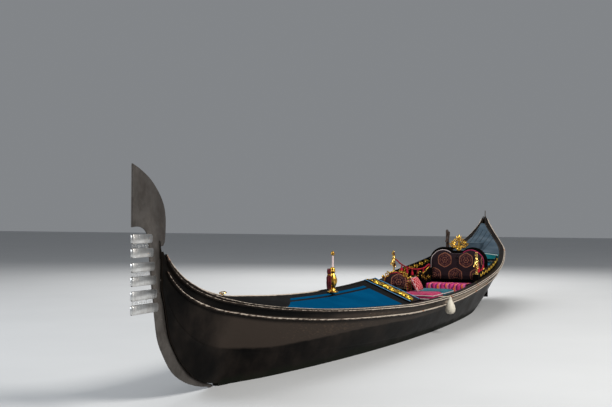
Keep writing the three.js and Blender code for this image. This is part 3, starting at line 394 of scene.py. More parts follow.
class Tree:
    """Shader nodes of one material, with short calls for the usual ones."""

    def __init__(self, name: str) -> None:
        """Starts a material that holds only a shader."""
        self.material = bpy.data.materials.new(name)
        self.material.use_nodes = True
        self.nodes = self.material.node_tree.nodes
        self.links = self.material.node_tree.links
        self.nodes.clear()
        output = self.nodes.new("ShaderNodeOutputMaterial")
        self.shader = self.nodes.new("ShaderNodeBsdfPrincipled")
        self.links.new(self.shader.outputs[0], output.inputs["Surface"])

    def put(self, socket: Socket, value: object) -> None:
        """Links a socket, or sets it where the value is plain."""
        if isinstance(value, Socket):
            self.links.new(value, socket)
        elif isinstance(value, tuple) and socket.type == "RGBA":
            socket.default_value = (*value, 1.0)
        else:
            socket.default_value = value

    def surface(self, **sockets: object) -> Material:
        """Sets the shader's sockets, their spaces written as underscores, and gives the material."""
        for name, value in sockets.items():
            self.put(self.shader.inputs[name.replace("_", " ")], value)
        return self.material

    def math(self, kind: str, a: object, b: object = 0.0, c: object = 0.0) -> Socket:
        """One step of arithmetic."""
        node = self.nodes.new("ShaderNodeMath")
        node.operation = kind
        for socket, value in zip(node.inputs, (a, b, c)):
            self.put(socket, value)
        return node.outputs[0]

    def where(self, scale: tuple = (1.0, 1.0, 1.0), source: str = "Object") -> Socket:
        """Coordinates on the piece, scaled."""
        coords = self.nodes.new("ShaderNodeTexCoord")
        mapping = self.nodes.new("ShaderNodeMapping")
        self.links.new(coords.outputs[source], mapping.inputs["Vector"])
        mapping.inputs["Scale"].default_value = scale
        return mapping.outputs[0]

    def axes(self, vector: Socket) -> tuple:
        """Splits a vector into x, y and z."""
        node = self.nodes.new("ShaderNodeSeparateXYZ")
        self.links.new(vector, node.inputs[0])
        return tuple(node.outputs)

    def noise(self, vector: Socket, scale: float, detail: float = 4.0,
              rough: float = 0.55, bent: float = 0.0) -> Socket:
        """Soft random cloudiness."""
        node = self.nodes.new("ShaderNodeTexNoise")
        self.links.new(vector, node.inputs["Vector"])
        for name, value in (("Scale", scale), ("Detail", detail), ("Roughness", rough), ("Distortion", bent)):
            node.inputs[name].default_value = value
        return node.outputs[0]

    def cells(self, vector: Socket, scale: float) -> Socket:
        """Distance to the nearest of many random spots."""
        node = self.nodes.new("ShaderNodeTexVoronoi")
        self.links.new(vector, node.inputs["Vector"])
        node.inputs["Scale"].default_value = scale
        return node.outputs["Distance"]

    def marked(self, name: str) -> Socket:
        """Reads a number kept on the piece's points."""
        node = self.nodes.new("ShaderNodeAttribute")
        node.attribute_name = name
        return node.outputs["Fac"]

    def band(self, value: object, low: float, high: float, to: Point2 = (0.0, 1.0)) -> Socket:
        """A smooth step from one value to another.

        Args:
            value: what is read.
            low: where the step starts.
            high: where it ends.
            to: the values before and after it.

        Returns:
            The stepped value.
        """
        node = self.nodes.new("ShaderNodeMapRange")
        node.interpolation_type = "SMOOTHSTEP"
        for name, number in (("Value", value), ("From Min", low), ("From Max", high),
                             ("To Min", to[0]), ("To Max", to[1])):
            self.put(node.inputs[name], number)
        return node.outputs[0]

    def blend(self, share: object, a: object, b: object) -> Socket:
        """Mixes two colours."""
        node = self.nodes.new("ShaderNodeMix")
        node.data_type = "RGBA"
        self.put(node.inputs[0], share)
        self.put(node.inputs[6], a)
        self.put(node.inputs[7], b)
        return node.outputs[2]

    def bump(self, height: object, distance: float, before: object = None) -> Socket:
        """Raises the surface by a height, in metres."""
        node = self.nodes.new("ShaderNodeBump")
        node.inputs["Distance"].default_value = distance
        self.put(node.inputs["Height"], height)
        if before is not None:
            self.put(node.inputs["Normal"], before)
        return node.outputs[0]


@dataclass(frozen=True)
class GlossPaint:
    """Brushed-on boat paint that wears through to the wood on its edges, and fades by a marked number that on
    the hull's lower band is a painted sheen.
    """

    name: str
    colour: Colour
    faded: Colour
    gloss: float = 0.2
    worn: Colour = (0.44, 0.35, 0.27)
    undercoat: Colour = (0.09, 0.06, 0.045)
    # How strongly the marked number fades the paint, for wear and for painted sheen alike.
    dust_and_sheen: float = 0.0
    shine: float = 0.3
    chips: float = 1.5
    patchy: float = 1.0
    rust: float = 0.0
    tidemark: bool = False

    def build(self) -> Material:
        """Makes the material."""
        tree = Tree(self.name)
        place = tree.where()
        long_grain = tree.where(scale=(1.0, 9.0, 9.0))
        cloud = tree.noise(place, 3.2, 5.0)
        brush = tree.noise(long_grain, 11.0, 6.0, 0.65)
        patches = tree.math("MULTIPLY_ADD", cloud, self.patchy, 0.5 * (1 - self.patchy))
        # Fades the paint by the marked number: wear on worn planks, and a painted sheen of lit surroundings on
        # the hull's band under the lower strake.
        dust = tree.math("MULTIPLY_ADD", tree.marked("wear"), self.dust_and_sheen, patches)
        colour = tree.blend(tree.band(dust, 0.42, 0.78), self.colour, self.faded)
        edge = tree.math("MULTIPLY_ADD", tree.math("SUBTRACT", brush, 0.5), self.chips, tree.marked("wear"))
        primed = tree.band(edge, 0.42, 0.52)
        bare = tree.band(edge, 0.55, 0.68)
        colour = tree.blend(primed, colour, self.undercoat)
        colour = tree.blend(bare, colour, tree.blend(brush, self.worn, tuple(1.35 * c for c in self.worn)))
        rusted = tree.band(tree.noise(place, 4.0, 3.0), 0.6, 0.68, (0.0, self.rust))
        stain = tree.math("MULTIPLY", bare, rusted)
        colour = tree.blend(stain, colour, (0.34, 0.1, 0.025))
        rough = tree.band(cloud, 0.3, 0.8, (self.gloss, self.gloss + 0.14))
        rough = tree.math("MULTIPLY_ADD", bare, 0.4, rough)
        if self.tidemark:
            height = tree.math("MULTIPLY_ADD", tree.math("SUBTRACT", cloud, 0.5), 0.16, tree.axes(place)[2])
            wet = tree.band(height, 0.02, 0.085, (1.0, 0.0))
            colour = tree.blend(tree.math("MULTIPLY", wet, 0.5), colour, (0.011, 0.014, 0.009))
            rough = tree.math("MULTIPLY_ADD", wet, 0.25, rough)
        waves = tree.bump(tree.noise(tree.where(scale=(1.0, 2.5, 2.5)), 2.4, 2.0), 0.006)
        strokes = tree.bump(brush, 0.0006, waves)
        return tree.surface(Base_Color=colour, Roughness=rough, Normal=strokes, Specular_IOR_Level=self.shine)


@dataclass(frozen=True)
class Timber:
    """Oiled wood with its grain along the boat, or upright."""

    name: str
    light: Colour
    dark: Colour
    upright: bool = False
    gloss: float = 0.42

    def build(self) -> Material:
        """Makes the material."""
        tree = Tree(self.name)
        grain = tree.where(scale=(14.0, 14.0, 1.6) if self.upright else (1.6, 14.0, 14.0))
        figure = tree.noise(grain, 2.6, 6.0, 0.6, 1.2)
        fine = tree.noise(grain, 22.0, 3.0)
        colour = tree.blend(tree.band(figure, 0.35, 0.68), self.light, self.dark)
        pores = tree.band(fine, 0.55, 0.75, (0.0, 0.5))
        colour = tree.blend(pores, colour, tuple(0.5 * c for c in self.dark))
        dust = tree.band(tree.noise(tree.where(), 5.0, 4.0), 0.45, 0.8, (self.gloss, self.gloss + 0.25))
        return tree.surface(Base_Color=colour, Roughness=dust, Normal=tree.bump(fine, 0.0008))


@dataclass(frozen=True)
class BrushedIron:
    """Wrought iron brushed upright, with a dull patina."""

    name: str
    bright: Colour
    dull: Colour
    shine: float = 0.3

    def build(self) -> Material:
        """Makes the material."""
        tree = Tree(self.name)
        streak = tree.noise(tree.where(scale=(60.0, 60.0, 2.2)), 3.0, 6.0, 0.7)
        patina = tree.noise(tree.where(), 9.0, 6.0, 0.65)
        pits = tree.cells(tree.where(), 160.0)
        colour = tree.blend(tree.band(patina, 0.35, 0.7), self.bright, self.dull)
        lit = tuple(1.5 * c for c in self.bright)
        colour = tree.blend(tree.band(streak, 0.5, 0.8, (0.0, 0.45)), colour, lit)
        brushed = tree.band(streak, 0.3, 0.7, (self.shine, self.shine + 0.12))
        rough = tree.math("MULTIPLY_ADD", patina, 0.25, brushed)
        relief = tree.bump(streak, 0.0007, tree.bump(tree.band(pits, 0.0, 0.25), 0.0004))
        return tree.surface(Base_Color=colour, Roughness=rough, Metallic=1.0, Normal=relief)


@dataclass(frozen=True)
class Gold:
    """Gilt or polished brass, darker where it has dulled."""

    name: str
    light: Colour
    dull: Colour
    shine: float = 0.22

    def build(self) -> Material:
        """Makes the material."""
        tree = Tree(self.name)
        place = tree.where()
        patina = tree.noise(place, 38.0, 5.0, 0.6)
        hammer = tree.noise(place, 120.0, 2.0)
        colour = tree.blend(tree.band(patina, 0.44, 0.64), self.light, self.dull)
        rough = tree.band(patina, 0.4, 0.75, (self.shine, self.shine + 0.25))
        relief = tree.bump(hammer, 0.0008)
        return tree.surface(Base_Color=colour, Roughness=rough, Metallic=1.0, Normal=relief)


def threads(tree: Tree, before: object = None, size: float = 900.0) -> Socket:
    """Fine crossed threads with a little fuzz, as every cloth has them.

    Args:
        tree: the material's nodes.
        before: a relief under the threads.
        size: how close the threads lie.

    Returns:
        The surface's normal.
    """
    place = tree.where()
    x, y, z = tree.axes(place)
    warp = tree.math("SINE", tree.math("MULTIPLY", tree.math("ADD", x, y), size))
    weft = tree.math("SINE", tree.math("MULTIPLY", tree.math("ADD", z, y), size))
    fuzz = tree.noise(place, 60.0, 6.0, 0.7)
    height = tree.math("MULTIPLY_ADD", tree.math("MULTIPLY", warp, weft), 0.5, fuzz)
    return tree.bump(height, 0.0012, before)


@dataclass(frozen=True)
class Cloth:
    """Plain woven cloth with a faded tone."""

    name: str
    colour: Colour
    shade: Colour

    def build(self) -> Material:
        """Makes the material."""
        tree = Tree(self.name)
        cloud = tree.noise(tree.where(), 14.0, 5.0)
        colour = tree.blend(tree.band(cloud, 0.35, 0.7), self.colour, self.shade)
        return tree.surface(Base_Color=colour, Roughness=0.85, Sheen_Weight=0.08, Sheen_Roughness=0.4,
                            Specular_IOR_Level=0.2, Normal=threads(tree))


class Facing(Enum):
    """Which two of the boat's directions a cloth's pattern follows."""

    UPRIGHT = "yz"
    LYING = "yx"


@dataclass(frozen=True)
class Brocade:
    """Dark velvet with woven medallions in staggered rows."""

    name: str
    ground: Colour
    inner: Colour
    line: Colour
    facing: Facing
    wide: float = 0.315
    high: float = 0.444
    radius: float = 0.104
    origin: Point2 = (0.0, 0.0)

    def _nearest(self, tree: Tree, p: object, q: object) -> tuple:
        """Finds the nearest medallion's middle.

        Args:
            tree: the material's nodes.
            p: the place across.
            q: the place along.

        Returns:
            The two offsets from that middle and the distance, 1 at the rounded hexagon's edge.
        """
        found = []
        for shift in (0.0, 0.5):
            a = tree.math("WRAP", tree.math("ADD", p, shift * self.wide), self.wide / 2, -self.wide / 2)
            b = tree.math("WRAP", tree.math("ADD", q, shift * self.high), self.high / 2, -self.high / 2)
            across = tree.math("DIVIDE", tree.math("ABSOLUTE", a), self.radius)
            along_it = tree.math("DIVIDE", tree.math("ABSOLUTE", b), self.radius)
            corner = tree.math("MULTIPLY_ADD", across, 0.5, tree.math("MULTIPLY", along_it, 0.866))
            hexagon = tree.math("MAXIMUM", across, corner)
            squares = tree.math("MULTIPLY_ADD", across, across, tree.math("POWER", along_it, 2.0))
            both = tree.math("ADD", hexagon, tree.math("SQRT", squares))
            found.append((a, b, tree.math("MULTIPLY", both, 0.5)))
        (a0, b0, d0), (a1, b1, d1) = found
        pick = tree.math("LESS_THAN", d1, d0)
        keep = tree.math("SUBTRACT", 1.0, pick)
        return tuple(tree.math("MULTIPLY_ADD", one, pick, tree.math("MULTIPLY", zero, keep))
                     for zero, one in ((a0, a1), (b0, b1), (d0, d1)))

    def build(self) -> Material:
        """Makes the material."""
        tree = Tree(self.name)
        place = tree.where()
        axes = dict(zip("xyz", tree.axes(place)))
        wobble = tree.math("MULTIPLY", tree.math("SUBTRACT", tree.noise(place, 26.0, 2.0), 0.5), 0.010)
        p = tree.math("ADD", tree.math("ADD", axes[self.facing.value[0]], self.origin[0]), wobble)
        q = tree.math("ADD", tree.math("ADD", axes[self.facing.value[1]], self.origin[1]), wobble)
        a, b, far = self._nearest(tree, p, q)
        angle = tree.math("ARCTAN2", b, a)
        petal = tree.math("ABSOLUTE", tree.math("COSINE", tree.math("MULTIPLY", angle, 3.0)))
        dots = tree.band(tree.math("COSINE", tree.math("MULTIPLY", angle, 22.0)), 0.0, 0.4)
        curl = tree.math("MULTIPLY_ADD", petal, 0.2, 0.2)
        rim, lace, ring, bloom = (tree.math("ABSOLUTE", tree.math("SUBTRACT", far, at))
                                  for at in (0.93, 0.8, 0.62, curl))
        rim_line = tree.band(rim, 0.02, 0.045, (1.0, 0.0))
        lace_line = tree.math("MULTIPLY", tree.band(lace, 0.01, 0.03, (0.8, 0.0)), dots)
        ring_line = tree.math("MULTIPLY", tree.band(ring, 0.01, 0.03, (0.7, 0.0)), tree.band(petal, 0.2, 0.5))
        bloom_line = tree.band(bloom, 0.02, 0.04, (0.8, 0.0))
        heart = tree.band(far, 0.06, 0.1, (0.9, 0.0))
        lines = rim_line
        for more in (lace_line, ring_line, heart, bloom_line):
            lines = tree.math("MAXIMUM", lines, more)
        nap = tree.noise(place, 18.0, 4.0)
        lines = tree.math("MULTIPLY", lines, tree.band(tree.noise(place, 90.0, 3.0), 0.3, 0.5, (0.45, 1.0)))
        colour = tree.blend(tree.band(far, 0.9, 0.98, (1.0, 0.0)), self.ground, self.inner)
        lit = tuple(1.8 * c for c in self.ground)
        colour = tree.blend(tree.band(nap, 0.4, 0.75, (0.0, 0.5)), colour, lit)
        colour = tree.blend(lines, colour, self.line)
        rough = tree.math("MULTIPLY_ADD", lines, -0.3, 0.85)
        relief = threads(tree, tree.bump(lines, 0.0025))
        return tree.surface(Base_Color=colour, Roughness=rough, Normal=relief, Sheen_Weight=0.15,
                            Sheen_Roughness=0.35, Specular_IOR_Level=0.25)


@dataclass(frozen=True)
class Lattice:
    """Cloth with crossed light lines, drawn on the piece's own sheet."""

    name: str
    ground: Colour
    line: Colour
    pitch: float
    thick: float

    def build(self) -> Material:
        """Makes the material."""
        tree = Tree(self.name)
        u, v, _ = tree.axes(tree.where(source="UV"))
        lines = None
        for kind in ("ADD", "SUBTRACT"):
            slant = tree.math("DIVIDE", tree.math(kind, u, tree.math("MULTIPLY", v, 0.8)), self.pitch)
            near = tree.math("ABSOLUTE", tree.math("SUBTRACT", tree.math("FRACT", slant), 0.5))
            line = tree.band(near, self.thick, self.thick + 0.04, (1.0, 0.0))
            lines = line if lines is None else tree.math("MAXIMUM", lines, line)
        cloud = tree.noise(tree.where(), 20.0)
        ground = tree.blend(cloud, self.ground, tuple(0.5 * c for c in self.ground))
        colour = tree.blend(lines, ground, self.line)
        return tree.surface(Base_Color=colour, Roughness=0.8, Specular_IOR_Level=0.2,
                            Normal=threads(tree, tree.bump(lines, 0.001)))


@dataclass(frozen=True)
class Dotted:
    """Dark cloth with woven gold spots."""

    name: str
    ground: Colour
    spot: Colour
    pitch: float

    def build(self) -> Material:
        """Makes the material."""
        tree = Tree(self.name)
        u, v, _ = tree.axes(tree.where(source="UV"))
        turns = math.tau / self.pitch
        waves = [tree.math("COSINE", tree.math("MULTIPLY", value, turns)) for value in (u, v)]
        spots = tree.band(tree.math("MULTIPLY", waves[0], waves[1]), 0.2, 0.35)
        return tree.surface(Base_Color=tree.blend(spots, self.ground, self.spot), Specular_IOR_Level=0.2,
                            Roughness=tree.math("MULTIPLY_ADD", spots, -0.4, 0.85),
                            Normal=threads(tree, tree.bump(spots, 0.001)))


@dataclass(frozen=True)
class Stripes:
    """Cloth with wavy stripes of several colours across the piece's own sheet."""

    name: str
    colours: tuple[Colour, ...]
    pitch: float

    def build(self) -> Material:
        """Makes the material."""
        tree = Tree(self.name)
        place = tree.where(source="UV")
        _, v, _ = tree.axes(place)
        wander = tree.math("MULTIPLY", tree.math("SUBTRACT", tree.noise(place, 9.0, 2.0), 0.5), self.pitch)
        share = tree.math("FRACT", tree.math("DIVIDE", tree.math("ADD", v, wander), self.pitch))
        ramp = tree.nodes.new("ShaderNodeValToRGB")
        ramp.color_ramp.interpolation = "CONSTANT"
        tree.links.new(share, ramp.inputs[0])
        stops = ramp.color_ramp.elements
        while len(stops) < len(self.colours):
            stops.new(0.5)
        for i, colour in enumerate(self.colours):
            stops[i].position = i / len(self.colours)
            stops[i].color = (*colour, 1.0)
        return tree.surface(Base_Color=ramp.outputs[0], Roughness=0.9, Specular_IOR_Level=0.2,
                            Normal=threads(tree))


@dataclass(frozen=True)
class Rubber:
    """Chalky white rubber with scuffs."""

    name: str
    colour: Colour
    scuff: Colour

    def build(self) -> Material:
        """Makes the material."""
        tree = Tree(self.name)
        place = tree.where()
        dirt = tree.noise(place, 16.0, 6.0, 0.65)
        scrape = tree.noise(tree.where(scale=(3.0, 3.0, 22.0)), 7.0, 5.0)
        colour = tree.blend(tree.band(dirt, 0.5, 0.75, (0.0, 0.8)), self.colour, self.scuff)
        scraped = tree.band(scrape, 0.62, 0.72, (0.0, 0.5))
        colour = tree.blend(scraped, colour, tuple(0.6 * c for c in self.scuff))
        return tree.surface(Base_Color=colour, Roughness=0.55, Normal=tree.bump(dirt, 0.0012))


class Finishes:
    """Every finish of the boat, each made once."""

    def __init__(self) -> None:
        """Builds the materials."""
        black = (0.0026, 0.0024, 0.0023)
        soot = (0.006, 0.005, 0.0045)
        # The hull's faded brown-grey is real fading on the worn upper plank, and a painted reflection of lit
        # surroundings on the band under the lower strake.
        self.hull = GlossPaint("hull_paint", black, (0.035, 0.027, 0.022), 0.28, worn=(0.3, 0.245, 0.19),
                               undercoat=(0.06, 0.042, 0.03), dust_and_sheen=1.4, shine=0.02, chips=0.8, patchy=0.45,
                               tidemark=True).build()
        self.trim = GlossPaint("trim_paint", black, soot, 0.3, shine=0.008).build()
        self.rail = GlossPaint("rail_paint", (0.008, 0.0066, 0.0058), (0.02, 0.015, 0.012), 0.34, shine=0.02,
                               worn=(0.37, 0.32, 0.27), undercoat=(0.09, 0.07, 0.055), chips=0.9,
                               rust=0.8).build()
        self.blue = GlossPaint("deck_blue_paint", (0.0006, 0.045, 0.112), (0.0012, 0.058, 0.138), 0.3,
                               shine=0.0).build()
        self.sky = GlossPaint("edge_blue_paint", (0.09, 0.3, 0.55), (0.16, 0.4, 0.62), 0.3,
                              shine=0.05).build()
        # Slate-blue, with its paler patches, is a painted reflection of the sky on the black after deck; the
        # deck's nosing and the step take it as well.
        self.slate = GlossPaint("painted_sky_reflection_slate", (0.035, 0.055, 0.075), (0.07, 0.095, 0.12), 0.3,
                                shine=0.02).build()
        self.teal = GlossPaint("board_teal_paint", (0.008, 0.14, 0.16), (0.02, 0.2, 0.22), 0.3,
                               shine=0.05).build()
        self.white = GlossPaint("white_line_paint", (0.62, 0.66, 0.66), (0.45, 0.5, 0.5), 0.35,
                                shine=0.05).build()
        self.wood = Timber("oiled_larch", (0.3, 0.17, 0.085), (0.14, 0.07, 0.032)).build()
        self.walnut = Timber("rowing_walnut", (0.05, 0.024, 0.012), (0.016, 0.008, 0.005), True, 0.35).build()
        self.iron = BrushedIron("blade_iron", (0.14, 0.126, 0.115), (0.085, 0.074, 0.066), 0.36).build()
        self.bright = BrushedIron("tooth_iron", (0.72, 0.72, 0.71), (0.5, 0.48, 0.46), 0.16).build()
        self.gilt = Gold("gilding", (0.8, 0.47, 0.075), (0.16, 0.06, 0.015), 0.26).build()
        self.bright_gilt = Gold("painted_gilding", (0.98, 0.66, 0.085), (0.5, 0.25, 0.03), 0.42).build()
        self.brass = Gold("polished_brass", (0.85, 0.56, 0.16), (0.3, 0.16, 0.045), 0.18).build()
        ground, inner, line = (0.010, 0.0026, 0.0055), (0.024, 0.0036, 0.0085), (0.38, 0.14, 0.072)
        self.brocade = Brocade("brocade_upright", ground, inner, line, Facing.UPRIGHT,
                               origin=(0.045, -0.677)).build()
        self.brocade_flat = Brocade("brocade_lying", ground, inner, line, Facing.LYING).build()
        self.crimson = Cloth("crimson_cloth", (0.5, 0.012, 0.03), (0.22, 0.006, 0.02)).build()
        self.wine = Cloth("wine_cloth", (0.13, 0.01, 0.014), (0.055, 0.006, 0.01)).build()
        self.pink = Cloth("pink_cloth", (0.38, 0.022, 0.09), (0.22, 0.012, 0.055)).build()
        self.pale = Cloth("pale_piping", (0.62, 0.52, 0.5), (0.42, 0.34, 0.34)).build()
        self.aqua = Cloth("teal_cloth", (0.008, 0.11, 0.14), (0.005, 0.05, 0.08)).build()
        self.yellow = Cloth("yellow_silk", (0.9, 0.62, 0.05), (0.9, 0.4, 0.02)).build()
        self.lattice = Lattice("lattice_cloth", (0.5, 0.003, 0.014), (0.85, 0.5, 0.52), 0.044, 0.03).build()
        self.dotted = Dotted("dotted_cloth", (0.02, 0.008, 0.02), (0.75, 0.45, 0.06), 0.03).build()
        stripes = ((0.6, 0.06, 0.22), (0.2, 0.012, 0.13), (0.7, 0.16, 0.03), (0.62, 0.12, 0.3),
                   (0.1, 0.01, 0.07), (0.45, 0.02, 0.12))
        self.rug = Stripes("rug_stripes", stripes, 0.12).build()
        self.rubber = Rubber("fender_rubber", (0.6, 0.555, 0.46), (0.2, 0.165, 0.12)).build()
        self.rope = Rubber("rope_fibre", (0.55, 0.48, 0.37), (0.25, 0.2, 0.14)).build()
        self.marble = Rubber("staff_paint", (0.78, 0.6, 0.58), (0.5, 0.25, 0.25)).build()


@dataclass
class HullLines:
    """The lines of the planking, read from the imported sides."""

    knots: dict = field(default_factory=dict)

    def __post_init__(self) -> None:
        """Reads the outer face of both sides, row by row."""
        for side in Side:
            stations: dict[float, dict[float, float]] = {}
            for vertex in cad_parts[f"side_{side.tag}"].data.vertices:
                x, y, z = (round(c, 4) for c in vertex.co)
                station = stations.setdefault(x, {})
                station[z] = max(abs(y), station.get(z, 0.0))
            ordered = sorted(stations.items(), reverse=True)
            for row in Row:
                picked = [(x, sorted(station.items())[row]) for x, station in ordered]
                self.knots[side, row, "z"] = [(x, z) for x, (z, _) in picked]
                self.knots[side, row, "y"] = [(x, y) for x, (_, y) in picked]
        sheer = self.knots[Side.PORT, Row.SHEER, "z"]
        self.bow, self.stern = sheer[0][0], sheer[-1][0]

    def rail(self, side: Side, x: float, row: Row = Row.SHEER) -> Vector:
        """Gives the point of a row at x, on the outer face."""
        y = along(self.knots[side, row, "y"], x)
        return Vector((x, side.value * y, along(self.knots[side, row, "z"], x)))

    def outer(self, side: Side, x: float, level: float) -> Vector:
        """Gives a point of the outer face.

        Args:
            side: the side.
            x: the place along the boat.
            level: the place between the rows, 0 at the chine and 5 at the sheer.

        Returns:
            The point.
        """
        column = [self.rail(side, x, row) for row in Row]
        y = along([(float(row), column[row].y) for row in Row], level)
        z = along([(float(row), column[row].z) for row in Row], level)
        return Vector((x, y, z))

    def afloat(self, inset: float = 0.006, lift: float = 0.01) -> list[tuple[float, float, float]]:
        """Gives the hull's outline at the waterline, just inside its faces.

        Args:
            inset: how far inside the planking's outer face it lies.
            lift: how far the chine may stand out of the water at the ends, where the bottom is thicker.

        Returns:
            Places along the boat, from the bow aft, with y at port and at starboard.
        """
        found = []
        for x in self.spread(self.bow, self.stern):
            ends = []
            for side in Side:
                column = [self.rail(side, x, row) for row in Row]
                if column[0].z < lift:
                    ends.append(side.value * (along([(p.z, abs(p.y)) for p in column], 0.0) - inset))
            if len(ends) == 2:
                found.append((x, *ends))
        return found

    def spread(self, start: float, end: float, step: float = 0.07) -> list[float]:
        """Gives places that lie closer towards the boat's ends.

        Args:
            start: the first place.
            end: the last place, further aft.
            step: the distance between them amidships.

        Returns:
            The places, from start to end.
        """
        places = [start]
        while places[-1] - step > end:
            near = min(abs(places[-1] - self.bow), abs(places[-1] - self.stern))
            places.append(places[-1] - step * clamp(0.25 + near, 0.25, 1.0))
        return [*[x for x in places if x > end + 0.008], end]


@dataclass
class Planking:
    """The two planked sides, each three broad planks with their seams."""

    lines: HullLines
    thick: float = 0.02
    thin: float = 0.0125
    bow_ramp: Point2 = (1.25, 1.7)
    stern_ramp: Point2 = (9.0, 9.6)
    seams: tuple[float, ...] = (1.0, 2.55)
    seam_wide: float = 0.02
    seam_deep: float = 0.0016
    cheek_out: float = 0.0103
    cheek_thick: float = 0.0055
    upper_wear: tuple[Point2, ...] = (
        (0.4, 0.0), (2.4, 0.05), (3.0, 0.42), (5.1, 0.48), (5.5, 0.86), (7.3, 0.86), (7.8, 0.12),
        (10.8, 0.05))
    # The lower knots paint a sheen of lit surroundings on the band under the lower strake, fading to black aft
    # as painted shade; the foot knots give the level below which a painted shadow keeps the hull black, and
    # the edge number how sharp that painted shadow's edge is.
    lower_wear: tuple[Point2, ...] = (
        (0.4, 0.0), (1.0, 0.03), (1.35, 0.24), (4.6, 0.25), (5.4, 0.08), (10.8, 0.0))
    painted_shadow_foot: tuple[Point2, ...] = ((0.4, 0.9), (1.2, 1.0), (3.0, 1.58), (5.0, 1.75), (10.8, 1.8))
    painted_shadow_sharpness: float = 12.0

    def depth(self, x: float) -> float:
        """Gives the planks' thickness, thinner at the posts."""
        s = AMIDSHIPS - x
        full = min(clamp((s - self.bow_ramp[0]) / (self.bow_ramp[1] - self.bow_ramp[0])),
                   clamp((self.stern_ramp[1] - s) / (self.stern_ramp[1] - self.stern_ramp[0])))
        return mix(self.thin, self.thick, full)

    def build(self, looks: Finishes) -> None:
        """Makes both sides."""
        levels = sorted({*(k * 0.25 for k in range(21)), *(1 + k * 0.0625 for k in range(16)),
                         *(seam + d * self.seam_wide for seam in self.seams for d in (-1.0, 0.0, 1.0))})
        for side in Side:
            shape = Shape(f"planking_{side.tag}")
            rings = []
            wear = []
            for x in self.lines.spread(self.lines.bow, self.lines.stern):
                face = [self.lines.outer(side, x, level) for level in levels]
                depth = self.depth(x)
                for level, point in zip(levels, face):
                    if level in self.seams:
                        point.y -= side.value * self.seam_deep
                back = [point - Vector((0, side.value * depth, 0)) for point in face[::3]]
                rings.append([*face, *reversed(back)])
                # Above the lower strake the number is wear; below it, it is a painted sheen, cut off under the
                # foot level by a painted shadow.
                high, low, foot = (along(knots, AMIDSHIPS - x)
                                   for knots in (self.upper_wear, self.lower_wear, self.painted_shadow_foot))
                worn = [high if level > Row.LOW_STRAKE_HEAD else low * clamp((level - foot) * self.painted_shadow_sharpness)
                        for level in levels]
                wear.append([*worn, *[0.3] * len(back)])
            shape.rings(rings, wear)
            settle(shape.made(looks.hull), "hull_black", f"side_{side.tag}")
        self._stem_head(looks)

    def _stem_head(self, looks: Finishes) -> None:
        """Makes the two slim cheeks that run up from the stem along the bow iron's after edge."""
        outline = [(x_at(0.478), 0.985), (x_at(0.445), 0.985), (x_at(0.4425), 1.06), (x_at(0.441), 1.108),
                   (x_at(0.452), 1.06)]
        shape = Shape("stem_head")
        for side in Side:
            shape.plate(outline, upright(side.value * self.cheek_out), self.cheek_thick, 0.0015)
        settle(shape.made(looks.hull), "hull_black")


@dataclass
class Strake:
    """A rubbing strake along both sides, rounded and worn on its edges."""

    lines: HullLines
    name: str
    node: str
    low: Row
    high: Row
    out: float
    start: float
    end: float
    pale_from: float
    tone: Point2
    profile: tuple[tuple[float, float, float], ...] = (
        (0.0, 0.0, 0.1), (0.72, 0.03, 0.2), (0.93, 0.14, 0.3), (1.0, 0.36, 0.42), (1.0, 0.66, 0.72),
        (0.93, 0.86, 0.95), (0.72, 0.97, 0.95), (0.0, 1.0, 0.3))
    pale_reach: float = 1.6

    def build(self, looks: Finishes) -> None:
        """Makes the strake of each side: rows of the profile are out, up and wear."""
        for side in Side:
            rings = []
            wear = []
            for x in self.lines.spread(x_at(self.start), x_at(self.end)):
                foot = self.lines.rail(side, x, self.low)
                head = self.lines.rail(side, x, self.high)
                rings.append([foot.lerp(head, up) + Vector((0, side.value * (GAP + out * self.out), 0))
                              for out, up, _ in self.profile])
                pale = mix(*self.tone, clamp((AMIDSHIPS - x - self.pale_from) / self.pale_reach))
                wear.append([worn * pale for _, _, worn in self.profile])
            shape = Shape(f"{self.name}_{side.tag}")
            shape.rings(rings, wear)
            settle(shape.made(looks.rail, crease=60), "trim_black", f"{self.node}_{side.tag}")


@dataclass
class CoveringBoard:
    """The board on each sheer, with a pale worn outer edge."""

    lines: HullLines
    high: float = 0.014
    bow_lift: float = 0.046
    bow_end: float = 1.35
    wide: float = 0.078
    overhang: float = 0.004
    start: float = 0.50
    end: float = 10.75

    def inner(self, side: Side, x: float) -> float:
        """Gives the half breadth of the board's inner edge."""
        y = abs(self.lines.rail(side, x).y)
        return y - min(self.wide, 0.6 * y)

    def top(self, x: float) -> float:
        """Gives how far the board rises over the sheer."""
        return self.high + self.bow_lift * max(0.0, 1 - (AMIDSHIPS - x) / self.bow_end)

    def build(self, looks: Finishes) -> None:
        """Makes the board of each side. Rows: share inwards, share upwards, wear."""
        rows = ((0.0, 0.0, 0.2), (0.0, 0.6, 0.5), (0.012, 0.8, 0.9), (0.045, 0.97, 1.1), (0.08, 1.0, 0.8),
                (0.115, 1.0, 0.12), (0.86, 1.0, 0.12), (0.95, 0.96, 0.5), (1.0, 0.84, 0.3), (1.0, 0.0, 0.2))
        for side in Side:
            shape = Shape(f"covering_rail_{side.tag}")
            rings = []
            for x in self.lines.spread(x_at(self.start), x_at(self.end)):
                edge = self.lines.rail(side, x)
                outside = abs(edge.y) + self.overhang
                inside = self.inner(side, x)
                rise = self.top(x) - GAP
                rings.append([Vector((x, side.value * mix(outside, inside, share), edge.z + GAP + up * rise))
                              for share, up, _ in rows])
            pale = [mix(0.66, 1.0, clamp((AMIDSHIPS - ring[0].x - 1.6) / 2.2)) for ring in rings]
            shape.rings(rings, [[worn * share for _, _, worn in rows] for share in pale])
            settle(shape.made(looks.rail, crease=60), "trim_black", f"covering_board_{side.tag}")


